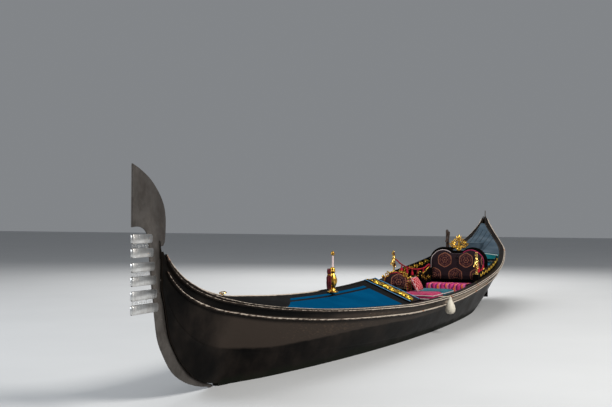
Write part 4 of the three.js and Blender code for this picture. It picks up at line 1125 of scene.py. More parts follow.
def top_edges(node: str, middle: float = 0.02) -> tuple[list[Vector], list[Vector]]:
    """Reads the two upper edges of a deck half.

    Args:
        node: the deck's CAD node.
        middle: how far from the centreline its ridge may lie.

    Returns:
        The ridge and the outer edge, from the bow aft.
    """
    ridge: dict[float, tuple] = {}
    edge: dict[float, tuple] = {}
    for point in cad_points(node):
        kept = ridge if abs(point[1]) < middle else edge
        if point[0] not in kept or kept[point[0]][2] < point[2]:
            kept[point[0]] = point
    return tuple([Vector(kept[x]) for x in sorted(kept, reverse=True)] for kept in (ridge, edge))


@dataclass
class ForeDeck:
    """The fore deck: blue panels between black borders, and the worn ridge cap."""

    lines: HullLines
    step: float = 0.055
    thick: float = 0.016
    strip: Point2 = (0.076, 0.118)
    panel: float = 0.152
    panel_end: float = 0.985
    paint_from: Point2 = (2.57, 2.04)
    border: float = 0.23
    rise: float = 0.0025
    pale_to: float = 3.5

    def _sheet(self, node: str) -> tuple[Place, Callable[[float], float]]:
        """Gives a deck half's upper face.

        Args:
            node: the deck's CAD node.

        Returns:
            The point for a place along the ridge, a share down the slope and a height; and the half breadth.
        """
        ridge, edge = top_edges(node)
        lines = [[(AMIDSHIPS - start.x, point[axis]) for start, point in zip(ridge, line)]
                 for line in (ridge, edge) for axis in range(3)]

        def place(s: float, share: float, height: float) -> Vector:
            """One point of the face, raised by a height."""
            values = [along(line, s) for line in lines]
            return Vector(values[:3]).lerp(Vector(values[3:]), share) + Vector((0, 0, height))
        return place, lambda s: abs(along(lines[4], s))

    def build(self, looks: Finishes) -> None:
        """Makes both halves and the ridge."""
        shares = [k / 8 for k in range(9)]
        for side in Side:
            node = f"foredeck_{side.tag}"
            place, breadth = self._sheet(node)
            ridge, _ = top_edges(node)
            first, last = AMIDSHIPS - ridge[0].x, AMIDSHIPS - ridge[-1].x
            count = round((last - first) / self.step)
            rings = []
            for k in range(count + 1):
                row = [place(mix(first, last, k / count), share, 0.0) for share in shares]
                rings.append([*row, *[point - Vector((0, 0, self.thick)) for point in reversed(row)]])
            shape = Shape(f"deck_panel_{side.tag}")
            shape.rings(rings)
            settle(shape.made(looks.trim), "deck_blue", node)
            panels = Shape(f"deck_blue_panel_{side.tag}")
            end = last - self.border
            self._field(panels, place, end, lambda s: self.strip[0] / breadth(s),
                        lambda s: self.strip[1] / breadth(s))
            self._field(panels, place, end, lambda s: self.panel / breadth(s), lambda s: self.panel_end)
            settle(panels.made(looks.blue), "deck_blue")
        self._ridge(looks)

    def _field(self, shape: Shape, place: Place, end: float, inner: Callable, outer: Callable) -> None:
        """Adds one raised blue field with eased edges.

        Args:
            shape: the shape that takes it.
            place: the deck's upper face.
            end: its after end, along the ridge.
            inner: its inner edge, a share of the slope at each place.
            outer: its outer edge.
        """
        columns, rows = 6, 36
        starts = []
        for k in range(columns):
            start = self.paint_from[0]
            for _ in range(4):
                start = mix(*self.paint_from, mix(inner(start), outer(start), k / (columns - 1)))
            starts.append(start)
        rings = []
        for i in range(rows + 1):
            row = []
            for k, start in enumerate(starts):
                s = mix(start, end, i / rows)
                lift = self.rise * (0.4 if k in (0, columns - 1) else 1.0)
                row.append(place(s, mix(inner(s), outer(s), k / (columns - 1)), lift))
            rings.append([*row, *[point - Vector((0, 0, self.rise * 1.8)) for point in reversed(row)]])
        shape.rings(rings)

    def _ridge(self, looks: Finishes) -> None:
        """Makes the ridge cap, its crown worn pale."""
        crown: dict[float, float] = {}
        for x, _, z in cad_points("foredeck_ridge"):
            crown[x] = max(z, crown.get(x, -9.0))
        knots = sorted(crown.items(), reverse=True)
        rows = ((0.0135, -0.029, 0.2), (0.0135, -0.008, 0.5), (0.011, -0.0025, 0.95), (0.006, 0.0, 1.1),
                (-0.006, 0.0, 1.1), (-0.011, -0.0025, 0.95), (-0.0135, -0.008, 0.5), (-0.0135, -0.029, 0.2))
        places = self.lines.spread(knots[0][0], knots[-1][0])
        shape = Shape("deck_ridge_cap")
        pale = [clamp((self.pale_to - AMIDSHIPS + x) / 0.3, 0.15) for x in places]
        shape.rings([[Vector((x, y, along(knots, x) + z)) for y, z, _ in rows] for x in places],
                    [[worn * share for _, _, worn in rows] for share in pale])
        settle(shape.made(looks.rail), "trim_black", "foredeck_ridge")


@dataclass
class Carving:
    """Carved scrollwork in low relief, drawn in two directions and laid on a face."""

    shape: Shape
    place: Place
    up: Vector

    def stroke(self, points: Sequence[Point2], radii: Sequence[float] | float, height: float = 0.004,
               flat: float = 0.6, steps: int = 4) -> None:
        """Lays one raised stroke.

        Args:
            points: its middle line in the face's two directions.
            radii: half its width, one or one for each point.
            height: how far its middle stands off the face.
            flat: its thickness as a share of its width.
            steps: new points for each stretch.
        """
        path = curve_through(points, steps)
        if isinstance(radii, float):
            sizes = [radii] * len(path)
        else:
            sizes = [v.x for v in curve_through([(r, 0.0) for r in radii], steps)]
        self.shape.tube([self.place(p.x, p.y, height) for p in path], [max(0.0007, r) for r in sizes],
                        sides=8, flat=flat, up=self.up)

    def scroll(self, middle: Point2, radius: float, start: float, turns: float, width: float,
               hand: int = 1) -> None:
        """Lays a spiral that winds into its middle and ends in a boss.

        Args:
            middle: its middle.
            radius: its outer radius.
            start: the angle that it starts at.
            turns: how often it goes round.
            width: half the stroke's width.
            hand: 1 to wind one way, -1 for the other.
        """
        count = max(6, round(abs(turns) * 9))
        points = []
        for k in range(count + 1):
            t = k / count
            r = radius * (1 - 0.82 * t)
            angle = start + hand * math.tau * turns * t
            points.append((middle[0] + r * math.cos(angle), middle[1] + r * math.sin(angle)))
        self.stroke(points, [width * (1 - 0.45 * k / count) for k in range(count + 1)], steps=2)
        self.leaf(points[-1], (points[-1][0] + width, points[-1][1]), width * 0.9, 0.0)

    def leaf(self, foot: Point2, tip: Point2, width: float, bend: float, height: float = 0.004) -> None:
        """Lays one leaf.

        Args:
            foot: where it starts.
            tip: where it ends.
            width: half its width.
            bend: how far it bends to one side, a share of its length.
            height: how far its middle stands off the face.
        """
        a, b = Vector(foot), Vector(tip)
        side = Vector((a.y - b.y, b.x - a.x)) * bend
        points = [a, a.lerp(b, 0.3) + side * 0.7, a.lerp(b, 0.65) + side, b]
        self.stroke([tuple(p) for p in points], [width * 0.35, width, width * 0.7, width * 0.08], height, 0.5)

    def vine(self, start: float, end: float, middle: float, swing: float, count: int, width: float) -> None:
        """Lays a running vine with a scroll and leaves in every bend.

        Args:
            start: where it starts, in the face's first direction.
            end: where it ends.
            middle: the height that it swings about.
            swing: how far it swings.
            count: the number of its bends.
            width: half the stem's width.
        """
        pitch = (end - start) / count
        stem = []
        for k in range(count * 2 + 1):
            u = start + pitch * k / 2
            stem.append((u, middle + swing * 0.55 * math.sin(math.pi * k / 2 + math.pi / 4)))
        self.stroke(stem, width * 0.8, steps=5)
        for k in range(count):
            hand = 1 if k % 2 else -1
            u = start + pitch * (k + 0.5)
            heart = (u, middle + hand * swing * 0.22)
            self.scroll(heart, swing * 0.72, math.pi / 2 * hand, 0.95, width, -hand)
            for turn in (-0.8, 0.0, 0.8):
                angle = math.pi / 2 * hand + turn
                foot = (u + swing * 0.55 * math.cos(angle), middle + swing * 0.75 * math.sin(angle))
                tip = (u + swing * 1.25 * math.cos(angle), middle + swing * 1.15 * math.sin(angle))
                self.leaf(foot, tip, width * 1.1, 0.12 * hand)


@dataclass
class CrossBoard:
    """The carved chevron board over the fore deck's end."""

    node: str = "foredeck_cross_board"
    thick: float = 0.026
    sections: int = 12
    ease: float = 0.004
    deep: float = 0.385
    line_wide: float = 0.010
    line_places: tuple[float, ...] = (0.05, 0.93)
    carving: Point2 = (0.24, 0.76)

    def _corners(self) -> list[list[Vector]]:
        """Reads the board's three sections: fore and aft upper edge at port, middle and starboard."""
        points = cad_points(self.node)
        sides = [p[1] for p in points]
        found = []
        for y in (max(sides), min(sides, key=abs), min(sides)):
            near = (p for p in points if abs(p[1] - y) < 0.002)
            section = sorted(near, key=lambda p: (-round(p[0], 2), p[2]))
            fore = max((p for p in section if p[0] > section[-1][0] + 0.01), key=lambda p: p[2])
            aft = max((p for p in section if p[0] < section[0][0] - 0.01), key=lambda p: p[2])
            found.append([Vector(fore), Vector(aft)])
        return found

    def build(self, looks: Finishes) -> None:
        """Makes the board, its blue lines and the gilt carving."""
        port, middle, starboard = self._corners()
        shape = Shape("cross_board")
        rows = ((0.0, -self.thick, 0.1), (0.0, -self.ease, 0.2), (0.012, 0.0, 0.25), (0.988, 0.0, 0.25),
                (1.0, -self.ease, 0.2), (1.0, -self.thick, 0.1))
        rings = []
        for a, b in ((port, middle), (middle, starboard)):
            for k in range(self.sections + (b is starboard)):
                fore = a[0].lerp(b[0], k / self.sections)
                aft = a[1].lerp(b[1], k / self.sections)
                rings.append([fore.lerp(aft, share) + UP * drop for share, drop, _ in rows])
        shape.rings(rings, [[worn for _, _, worn in rows]] * len(rings))
        settle(shape.made(looks.trim), "trim_black", self.node)
        lines = Shape("cross_board_lines")
        gilt = Shape("cross_board_carving")
        for end in (port, starboard):
            self._wing(lines, gilt, middle, end)
        settle(lines.made(looks.sky), "trim_black")
        settle(gilt.made(looks.bright_gilt), "gilt")

    def _wing(self, lines: Shape, gilt: Shape, middle: list[Vector], end: list[Vector]) -> None:
        """Adds the lines and the carving of one wing.

        Args:
            lines: takes the blue lines.
            gilt: takes the carving.
            middle: the fore and aft upper edge amidships.
            end: the same at the wing's end.
        """
        wing = (end[0] - middle[0]).length
        normal = (end[0] - middle[0]).cross(middle[1] - middle[0]).normalized()
        normal = normal if normal.z > 0 else -normal

        def place(u: float, w: float, h: float) -> Vector:
            """A point of the wing: shares out from the middle and from fore to aft."""
            return middle[0].lerp(end[0], u).lerp(middle[1].lerp(end[1], u), w) + normal * h

        wide = self.line_wide / self.deep
        section = ((0.0, -0.002), (0.0, 0.0022), (0.25, 0.0034), (0.75, 0.0034), (1.0, 0.0022), (1.0, -0.002))
        for share in self.line_places:
            lines.rings([[place(k / 10 * 0.97, share + d * wide, h) for d, h in section] for k in range(11)])
        low, high = self.carving
        deep = self.deep
        cut = Carving(gilt, lambda u, v, h: place(u / wing, v / deep, h), normal)
        cut.vine(0.07 * wing, 0.93 * wing, deep * (low + high) / 2, deep * (high - low) / 2, 5, 0.0145)


def slice_outline(node: str, axis: int, at: float) -> list[list[Point2]]:
    """Cuts a copy of a CAD node by a plane and reads the outlines there.

    Args:
        node: the CAD node.
        axis: 0, 1 or 2 for a plane across x, y or z.
        at: where the plane lies on that axis.

    Returns:
        Every closed outline, in the two other axes, the longest first.
    """
    body = bmesh.new()
    body.from_mesh(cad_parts[node].data)
    bmesh.ops.remove_doubles(body, verts=body.verts, dist=1e-5)
    normal = Vector((0, 0, 0))
    normal[axis] = 1.0
    cut = bmesh.ops.bisect_plane(
        body, geom=[*body.verts, *body.edges, *body.faces], plane_co=normal * at, plane_no=normal,
        clear_outer=True, clear_inner=True, dist=1e-6,
    )["geom_cut"]
    joined: dict = {}
    for edge in cut:
        if isinstance(edge, bmesh.types.BMEdge):
            for a, b in (edge.verts, reversed(edge.verts)):
                joined.setdefault(a, []).append(b)
    loops = []
    left = set(joined)
    while left:
        ahead = sorted(left, key=lambda v: tuple(v.co))
        loop = []
        while ahead:
            left.discard(ahead[0])
            loop.append(ahead[0])
            ahead = sorted((v for v in joined[ahead[0]] if v in left), key=lambda v: tuple(v.co))
        loops.append([tuple(c for k, c in enumerate(v.co) if k != axis) for v in loop])
    body.free()
    return sorted(loops, key=len, reverse=True)


def faired(outline: Sequence[Point2], corner: float = 32.0, steps: int = 3) -> list[Point2]:
    """Rounds an outline between its corners.

    Args:
        outline: the closed outline.
        corner: the turn in degrees past which a point stays a corner.
        steps: new points for each stretch.

    Returns:
        The outline with smooth stretches between its corners.
    """
    kept = []
    for i, point in enumerate(outline):
        a, b, c = Vector(outline[i - 1]), Vector(point), Vector(outline[(i + 1) % len(outline)])
        if (b - a).length > 1e-4 and ((b - a).angle(c - b, 0.0) > math.radians(1.0)):
            kept.append(b)
    count = len(kept)
    sharp = [i for i in range(count)
             if (kept[i] - kept[i - 1]).angle(kept[(i + 1) % count] - kept[i], 0.0) > math.radians(corner)]
    if not sharp:
        return [tuple(p) for p in curve_through(kept, steps, closed=True)]
    made = []
    for k, first in enumerate(sharp):
        last = sharp[(k + 1) % len(sharp)]
        span = (last - first) % count or count
        run = [kept[(first + j) % count] for j in range(span + 1)]
        made.extend(tuple(p) for p in (run if span == 1 else curve_through(run, steps))[:-1])
    return made


def plate_from(node: str, name: str, y: float, corner: float, thick: float, ease: float,
               steps: int = 3) -> tuple[Shape, list[Point2]]:
    """Makes a plate with eased edges from a CAD plate that stands along the boat.

    Args:
        node: the CAD plate.
        name: the piece's name.
        y: the plate's middle.
        corner: the turn in degrees past which a point of its outline stays a corner.
        thick: the plate's thickness.
        ease: how far the edges are rounded.
        steps: new points for each stretch of the outline.

    Returns:
        The plate's shape, and its outline in x and z.
    """
    outline = faired(slice_outline(node, 1, y)[0], corner, steps)
    shape = Shape(name)
    shape.plate(outline, upright(y), thick, ease)
    return shape, outline


@dataclass
class BowIron:
    """The comb-shaped bow iron: blade, six polished teeth and fretwork between them."""

    thick: float = 0.014
    tooth_thick: float = 0.02
    teeth: int = 6
    first_top: float = 1.154
    pitch: float = 0.0922
    high: float = 0.060
    front: float = 0.12
    root: float = 0.34
    root_step: float = 0.0155

    def build(self, looks: Finishes) -> None:
        """Makes the blade, the teeth, the fretwork and the rivets."""
        blade, _ = plate_from("bow_iron", "bow_blade", 0.0, 28.0, self.thick, 0.003)
        settle(blade.made(looks.iron, crease=50), "iron", "bow_iron")
        teeth = Shape("bow_teeth")
        fret = Shape("bow_fretwork")
        for k in range(self.teeth):
            top = self.first_top - k * self.pitch
            foot = top - self.high
            front = x_at(self.front - 0.0004)
            root = x_at(self.root + self.root_step * k + 0.012)
            corner = 0.006
            ring = [(front, foot + corner), (front, top - corner), (front - corner, top), (root + 0.01, top),
                    (root, top - 0.012), (root, foot + 0.012), (root + 0.01, foot), (front - corner, foot)]
            teeth.plate(ring, upright(), self.tooth_thick, 0.0025)
            if k % 2 == 0:
                self._fretwork(fret, front, root, foot - (self.pitch - self.high) / 2)
        settle(teeth.made(looks.bright, crease=50), "iron")
        settle(fret.made(looks.bright), "iron")
        self._rivets(looks)

    def _fretwork(self, shape: Shape, front: float, root: float, middle: float) -> None:
        """Adds one band of pierced scrolls between two teeth.

        Args:
            shape: takes the scrolls.
            front: the band's front end.
            root: its after end.
            middle: its height.
        """
        sunk = 0.004
        cut = Carving(shape, lambda u, v, h: Vector((front - u, h - sunk, middle + v)), Vector((0, 1, 0)))
        half = (self.pitch - self.high) / 2 - 0.002
        length = front - root - 0.02
        count = 5
        pitch = length / count
        for k in range(count):
            hand = 1 if k % 2 else -1
            u = pitch * (k + 0.5)
            cut.scroll((u - pitch * 0.16, 0.0), half * 0.95, math.pi / 2 * hand, 0.9, 0.0026, hand)
            cut.scroll((u + pitch * 0.26, 0.0), half * 0.8, -math.pi / 2 * hand, 0.7, 0.0024, hand)
        for edge in (-half, half):
            cut.stroke([(0.0, edge), (length / 2, edge), (length, edge)], 0.0016)

    def _rivets(self, looks: Finishes) -> None:
        """Adds the rivets that hold the iron to the stem."""
        line = [(0.47, 0.93), (0.45, 0.72), (0.487, 0.54), (0.56, 0.345), (0.66, 0.24), (0.79, 0.145),
                (0.95, 0.067)]
        for side in Side:
            path = curve_through([(x_at(s), side.value * self.thick / 2, z) for s, z in line], 6)
            rivets = row_of(f"bow_iron_rivets_{side.tag}", path, Bead.DOME, 0.09, 0.0055, looks.iron)
            settle(rivets, "iron")


class Bead(Enum):
    """The small shapes that are set in rows."""

    BALL = 1.0
    DOME = 0.45
    THREAD = 7.0


def row_tree(kind: Bead) -> bpy.types.NodeTree:
    """Builds the Geometry Nodes tree that sets small shapes along a line.

    Args:
        kind: which small shape.

    Returns:
        The tree, with inputs Spacing, Size, Jitter, Seed and Finish.
    """
    name = f"row_of_{kind.name.lower()}"
    if name in bpy.data.node_groups:
        return bpy.data.node_groups[name]
    tree = bpy.data.node_groups.new(name, "GeometryNodeTree")
    for label, way, socket in (
        ("Line", "INPUT", "Geometry"), ("Spacing", "INPUT", "Float"), ("Size", "INPUT", "Float"),
        ("Jitter", "INPUT", "Float"), ("Seed", "INPUT", "Int"), ("Finish", "INPUT", "Material"),
        ("Row", "OUTPUT", "Geometry"),
    ):
        tree.interface.new_socket(label, in_out=way, socket_type=f"NodeSocket{socket}")
    made = {}
    for key, node in (
        ("in", "NodeGroupInput"), ("curve", "GeometryNodeMeshToCurve"), ("even", "GeometryNodeResampleCurve"),
        ("copies", "GeometryNodeInstanceOnPoints"), ("size", "FunctionNodeRandomValue"),
        ("least", "ShaderNodeMath"), ("most", "ShaderNodeMath"), ("ball", "GeometryNodeMeshIcoSphere"),
        ("form", "GeometryNodeTransform"), ("real", "GeometryNodeRealizeInstances"),
        ("smooth", "GeometryNodeSetShadeSmooth"), ("finish", "GeometryNodeSetMaterial"),
        ("out", "NodeGroupOutput"),
    ):
        made[key] = tree.nodes.new(node)
    made["even"].mode = "LENGTH"
    made["ball"].inputs["Subdivisions"].default_value = 2
    made["ball"].inputs["Radius"].default_value = 1.0
    made["least"].operation = "SUBTRACT"
    made["most"].operation = "ADD"
    flat = kind.value
    made["form"].inputs["Scale"].default_value = (1.0, flat, 1.0) if kind is Bead.DOME else (1.0, 1.0, flat)
    if kind is Bead.THREAD:
        made["form"].inputs["Translation"].default_value = (0.0, 0.0, -flat)
    for source, gives, target, takes in (
        ("in", "Line", "curve", "Mesh"), ("curve", 0, "even", "Curve"), ("in", "Spacing", "even", "Length"),
        ("even", 0, "copies", "Points"), ("ball", "Mesh", "form", "Geometry"),
        ("form", 0, "copies", "Instance"), ("in", "Size", "least", 0), ("in", "Jitter", "least", 1),
        ("in", "Size", "most", 0), ("in", "Jitter", "most", 1),
        ("least", 0, "size", 2), ("most", 0, "size", 3),
        ("in", "Seed", "size", "Seed"), ("size", 1, "copies", "Scale"), ("copies", 0, "real", 0),
        ("real", 0, "smooth", "Geometry"), ("smooth", 0, "finish", "Geometry"),
        ("in", "Finish", "finish", "Material"), ("finish", 0, "out", "Row"),
    ):
        tree.links.new(made[source].outputs[gives], made[target].inputs[takes])
    return tree


def row_of(name: str, path: Sequence[Vector], kind: Bead, spacing: float, size: float,
           finish: Material, jitter: float = 0.0, seed: int = 1) -> Thing:
    """Sets small shapes along a path by Geometry Nodes.

    Args:
        name: the piece's name.
        path: the line that they follow.
        kind: the small shape.
        spacing: metres from one to the next.
        size: a shape's radius.
        finish: the material.
        jitter: how far the radius varies.
        seed: the start of the random sizes.

    Returns:
        The row as one plain object.
    """
    line = bpy.data.meshes.new(f"{name}_line")
    line.from_pydata(path, [(i, i + 1) for i in range(len(path) - 1)], [])
    thing = placed(name, line)
    tree = row_tree(kind)
    modifier = thing.modifiers.new("row", "NODES")
    modifier.node_group = tree
    values = {"Spacing": spacing, "Size": size, "Jitter": jitter, "Seed": seed, "Finish": finish}
    for item in tree.interface.items_tree:
        if item.in_out == "INPUT" and item.name in values:
            modifier[item.identifier] = values[item.name]
    bake_modifiers(thing)
    return thing


@dataclass
class SternIron:
    """The slim iron on the after edge of the stern post."""

    thick: float = 0.014

    def build(self, looks: Finishes) -> None:
        """Makes the strip with eased edges."""
        shape, _ = plate_from("stern_iron", "stern_strip", 0.0, 30.0, self.thick, 0.0035)
        settle(shape.made(looks.iron, crease=50), "iron", "stern_iron")


@dataclass
class AfterDeck:
    """The after deck with its caulked seams, and the painted boards at its front."""

    seam: float = 0.006
    plank: float = 0.075
    steps: int = 44
    stripe_pitch: float = 0.052
    stripe_half: float = 0.013

    def build(self, looks: Finishes) -> None:
        """Makes the deck's seams, the front board and the bulkhead's stripes."""
        surface = surface_of("aft_deck")
        low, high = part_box("aft_deck")
        seams = Shape("after_deck_seams")
        for k in range(-3, 5):
            path = []
            for i in range(self.steps + 1):
                above = Vector((mix(high[0] - 0.01, low[0] + 0.25, i / self.steps), k * self.plank, 2.0))
                hit = surface.ray_cast(above, -UP)[0]
                if hit is not None:
                    path.append(hit + Vector((0, 0, 0.0006)))
            if len(path) > 5:
                seams.tube(path, self.seam / 2, 6, 0.35, UP)
        settle(seams.made(looks.trim), "deck_slate")
        # The deck gets the slate-blue that paints the sky's reflection on its black.
        paint("aft_deck", looks.slate, 0.002)
        self._front(looks)
        self._bulkhead(looks)

    def _front(self, looks: Finishes) -> None:
        """Adds the white line and a rounded moulding along the front board."""
        low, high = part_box("aft_deck_front")
        board = slice_outline("aft_deck_front", 0, (low[0] + high[0]) / 2)[0]
        paint("aft_deck_front", looks.teal, 0.003)
        head = sorted((p for p in board if p[1] > low[2] + 0.04), key=lambda p: p[0])
        trim = Shape("after_deck_line")
        line = curve_through([(high[0] + 0.001, y * 0.985, z - 0.014) for y, z in head], 8)
        trim.tube(line, 0.005, 8, 0.5, AHEAD)
        settle(trim.made(looks.white), "board_teal")
        nose = Shape("after_deck_nosing")
        edge = curve_through([(high[0] - 0.012, y * 0.985, z + 0.001) for y, z in head], 8)
        nose.tube(edge, 0.011, 12, 0.75)
        # The nosing takes the same painted sky reflection.
        settle(nose.made(looks.slate), "deck_slate")

    def _bulkhead(self, looks: Finishes) -> None:
        """Adds pale blue and white stripes across the stern bulkhead."""
        low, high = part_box("bulkhead_aft")
        paint("bulkhead_aft", looks.teal, 0.002)
        board = slice_outline("bulkhead_aft", 0, (low[0] + high[0]) / 2)[0]
        stripes = [Shape("bulkhead_blue_stripes"), Shape("bulkhead_white_stripes")]
        top = max(z for _, z in board)
        half = self.stripe_half
        for k in range(4):
            z = top - 0.035 - k * self.stripe_pitch
            ends = sorted(crossings(board, z))
            stripes[k % 2].box((high[0] - 0.001, ends[0] + 0.004, z - half),
                               (high[0] + 0.003, ends[-1] - 0.004, z + half))
        for shape, finish in zip(stripes, (looks.sky, looks.white)):
            settle(shape.made(finish), "board_teal")


def crossings(outline: Sequence[Point2], level: float) -> list[float]:
    """Gives where an outline crosses a level of its second direction."""
    found = []
    for a, b in zip(outline, [*outline[1:], outline[0]]):
        if (a[1] - level) * (b[1] - level) < 0:
            found.append(mix(a[0], b[0], (level - a[1]) / (b[1] - a[1])))
    return found


def surface_of(node: str) -> BVHTree:
    """Gives a search tree over a CAD node's surface."""
    body = bmesh.new()
    body.from_mesh(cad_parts[node].data)
    tree = BVHTree.FromBMesh(body)
    body.free()
    return tree


def paint(name: str, finish: Material, ease: float) -> None:
    """Gives a CAD node its finish and eased edges.

    Args:
        name: the node.
        finish: the material.
        ease: how far its edges are rounded, in metres.
    """
    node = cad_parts[name]
    if not node.data.materials:
        node.data.materials.append(finish)
    for slot in node.material_slots:
        slot.material = finish
    weld = node.modifiers.new("weld", "WELD")
    weld.merge_threshold = 0.00001
    bevel = node.modifiers.new("ease", "BEVEL")
    bevel.width = ease
    bevel.segments = 2
    bevel.limit_method = "ANGLE"
    bevel.angle_limit = math.radians(38)
    bevel.harden_normals = False
    normals = node.modifiers.new("smooth", "WEIGHTED_NORMAL")
    normals.keep_sharp = True


class BareParts:
    """The CAD nodes whose shape stays, each with its finish."""

    def build(self, looks: Finishes) -> None:
        """Dresses each node."""
        for finish, ease, nodes in (
            (looks.hull, 0.002, ("bottom", "stem", "stern_post", "bulkhead_fore")),
            (looks.wood, 0.003, ("floor_timbers", "ribs_port", "ribs_starboard", "floor_boards")),
            # The step takes the after deck's slate-blue painted sky reflection.
            (looks.slate, 0.003, ("gondolier_step",)),
            (looks.trim, 0.004, ("bench_port", "bench_starboard", "sofa_base", "forcola_block")),
        ):
            for name in nodes:
                paint(name, finish, ease)


@dataclass(frozen=True)
class Swelling:
    """How a padded piece is blown up: voxel size, the most a point may move, pressure and steps."""

    voxel: float = 0.010
    cap: float = 0.014
    pressure: float = 4.0
    frames: int = 20
    shrink: float = 0.006


def padded_from(node: str, name: str, how: Swelling) -> Thing:
    """Makes a padded piece from a CAD solid by a short cloth simulation.

    Args:
        node: the CAD solid.
        name: the piece's name.
        how: the simulation's settings.

    Returns:
        The piece, with plain mesh and no modifiers.
    """
    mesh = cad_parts[node].data.copy()
    body = bmesh.new()
    body.from_mesh(mesh)
    bmesh.ops.remove_doubles(body, verts=body.verts, dist=1e-5)
    bmesh.ops.recalc_face_normals(body, faces=body.faces)
    body.normal_update()
    middle = sum((v.co for v in body.verts), Vector()) / len(body.verts)
    for vertex in body.verts:
        inward = middle - vertex.co
        vertex.co += Vector(math.copysign(min(how.shrink, abs(c) * 0.4), c) for c in inward)
    body.to_mesh(mesh)
    body.free()
    mesh.materials.clear()
    thing = placed(name, mesh)
    remesh = thing.modifiers.new("even", "REMESH")
    remesh.mode = "VOXEL"
    remesh.voxel_size = how.voxel
    relax = thing.modifiers.new("relax", "SMOOTH")
    relax.iterations = 4
    bake_modifiers(thing)
    swell(thing, how)
    finer = thing.modifiers.new("finer", "SUBSURF")
    finer.levels = finer.render_levels = 1
    bake_modifiers(thing)
    return smoothed(thing)


def swell(thing: Thing, how: Swelling) -> None:
    """Blows a closed mesh up with Cloth, and caps how far each point moves.

    Args:
        thing: the closed mesh's object.
        how: the simulation's settings.
    """
    start = [v.co.copy() for v in thing.data.vertices]
    cloth = thing.modifiers.new("cloth", "CLOTH")
    cloth.settings.use_pressure = True
    cloth.settings.uniform_pressure_force = how.pressure
    cloth.settings.effector_weights.gravity = 0.0
    cloth.settings.quality = 4
    cloth.point_cache.frame_start = 1
    cloth.point_cache.frame_end = how.frames
    scene = bpy.context.scene
    for number in range(1, how.frames + 1):
        scene.frame_set(number)
    mesh = evaluated(thing)
    scene.frame_set(1)
    thing.modifiers.clear()
    for vertex, old in zip(mesh.vertices, start):
        move = vertex.co - old
        if move.length > how.cap:
            vertex.co = old + move.normalized() * how.cap
    thing.data = mesh


def pressed(thing: Thing, low: Sequence[float], high: Sequence[float]) -> None:
    """Keeps a soft piece between two corners, flat where it would pass them."""
    for vertex in thing.data.vertices:
        vertex.co = Vector(clamp(c, a, b) for c, a, b in zip(vertex.co, low, high))


def pad_in(node: str, name: str, finish: Material, slot: str, how: Swelling,
           below: Sequence[float], above: Sequence[float], seam: Sequence[Vector] = ()) -> Thing:
    """Makes one padded piece in place of its CAD solid, and settles it.

    Args:
        node: the CAD solid.
        name: the piece's name.
        finish: its material.
        slot: the record's material slot.
        how: the simulation's settings.
        below: what the lowest corner of its room adds to the solid's.
        above: the same for the highest corner.
        seam: the points of a seam down its face.

    Returns:
        The piece.
    """
    low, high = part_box(node)
    pad = padded_from(node, name, how)
    pressed(pad, [a + b for a, b in zip(low, below)], [a + b for a, b in zip(high, above)])
    if seam:
        seam_on(pad, seam, 0.02, 0.07)
    pad.data.materials.append(finish)
    settle(pad, slot, node)
    return pad


def seam_on(thing: Thing, path: Sequence[Vector], sink: float, reach: float) -> None:
    """Pulls a soft surface in along a path, as a sewn channel does.

    Args:
        thing: the soft piece.
        path: the seam's points, close together.
        sink: how deep the seam lies.
        reach: how far its pull is felt.
    """
    for vertex in thing.data.vertices:
        near = min((vertex.co - p).length for p in path)
        if near < reach:
            vertex.co -= vertex.normal * sink * (1 - near / reach) ** 2


def piping(name: str, thing: Thing, path: Sequence[Vector], radius: float) -> Shape:
    """Lays a corded edge on a soft piece.

    Args:
        name: the piping's name.
        thing: the soft piece.
        path: where it runs, near the surface.
        radius: half its thickness.

    Returns:
        The shape, to be made in its finish.
    """
    graph = bpy.context.evaluated_depsgraph_get()
    tree = BVHTree.FromObject(thing, graph)
    laid = []
    for point in path:
        spot, normal, _, _ = tree.find_nearest(point)
        laid.append(spot + normal * radius * 0.5)
    for _ in range(2):
        laid = [laid[0], *((a + 2 * b + c) / 4 for a, b, c in zip(laid, laid[1:], laid[2:])), laid[-1]]
    shape = Shape(name)
    shape.tube(laid, radius, 8)
    return shape


WAIST = 0.07


def waisted(u: float, v: float, wide: float, high: float) -> Point2:
    """Gives a place on a cushion whose sides pull in: u and v go from -1 to 1."""
    y = wide / 2 * u * (1 - WAIST * (1 - v * v) * abs(u))
    z = high / 2 * v * (1 - WAIST * (1 - u * u) * abs(v))
    return y, z


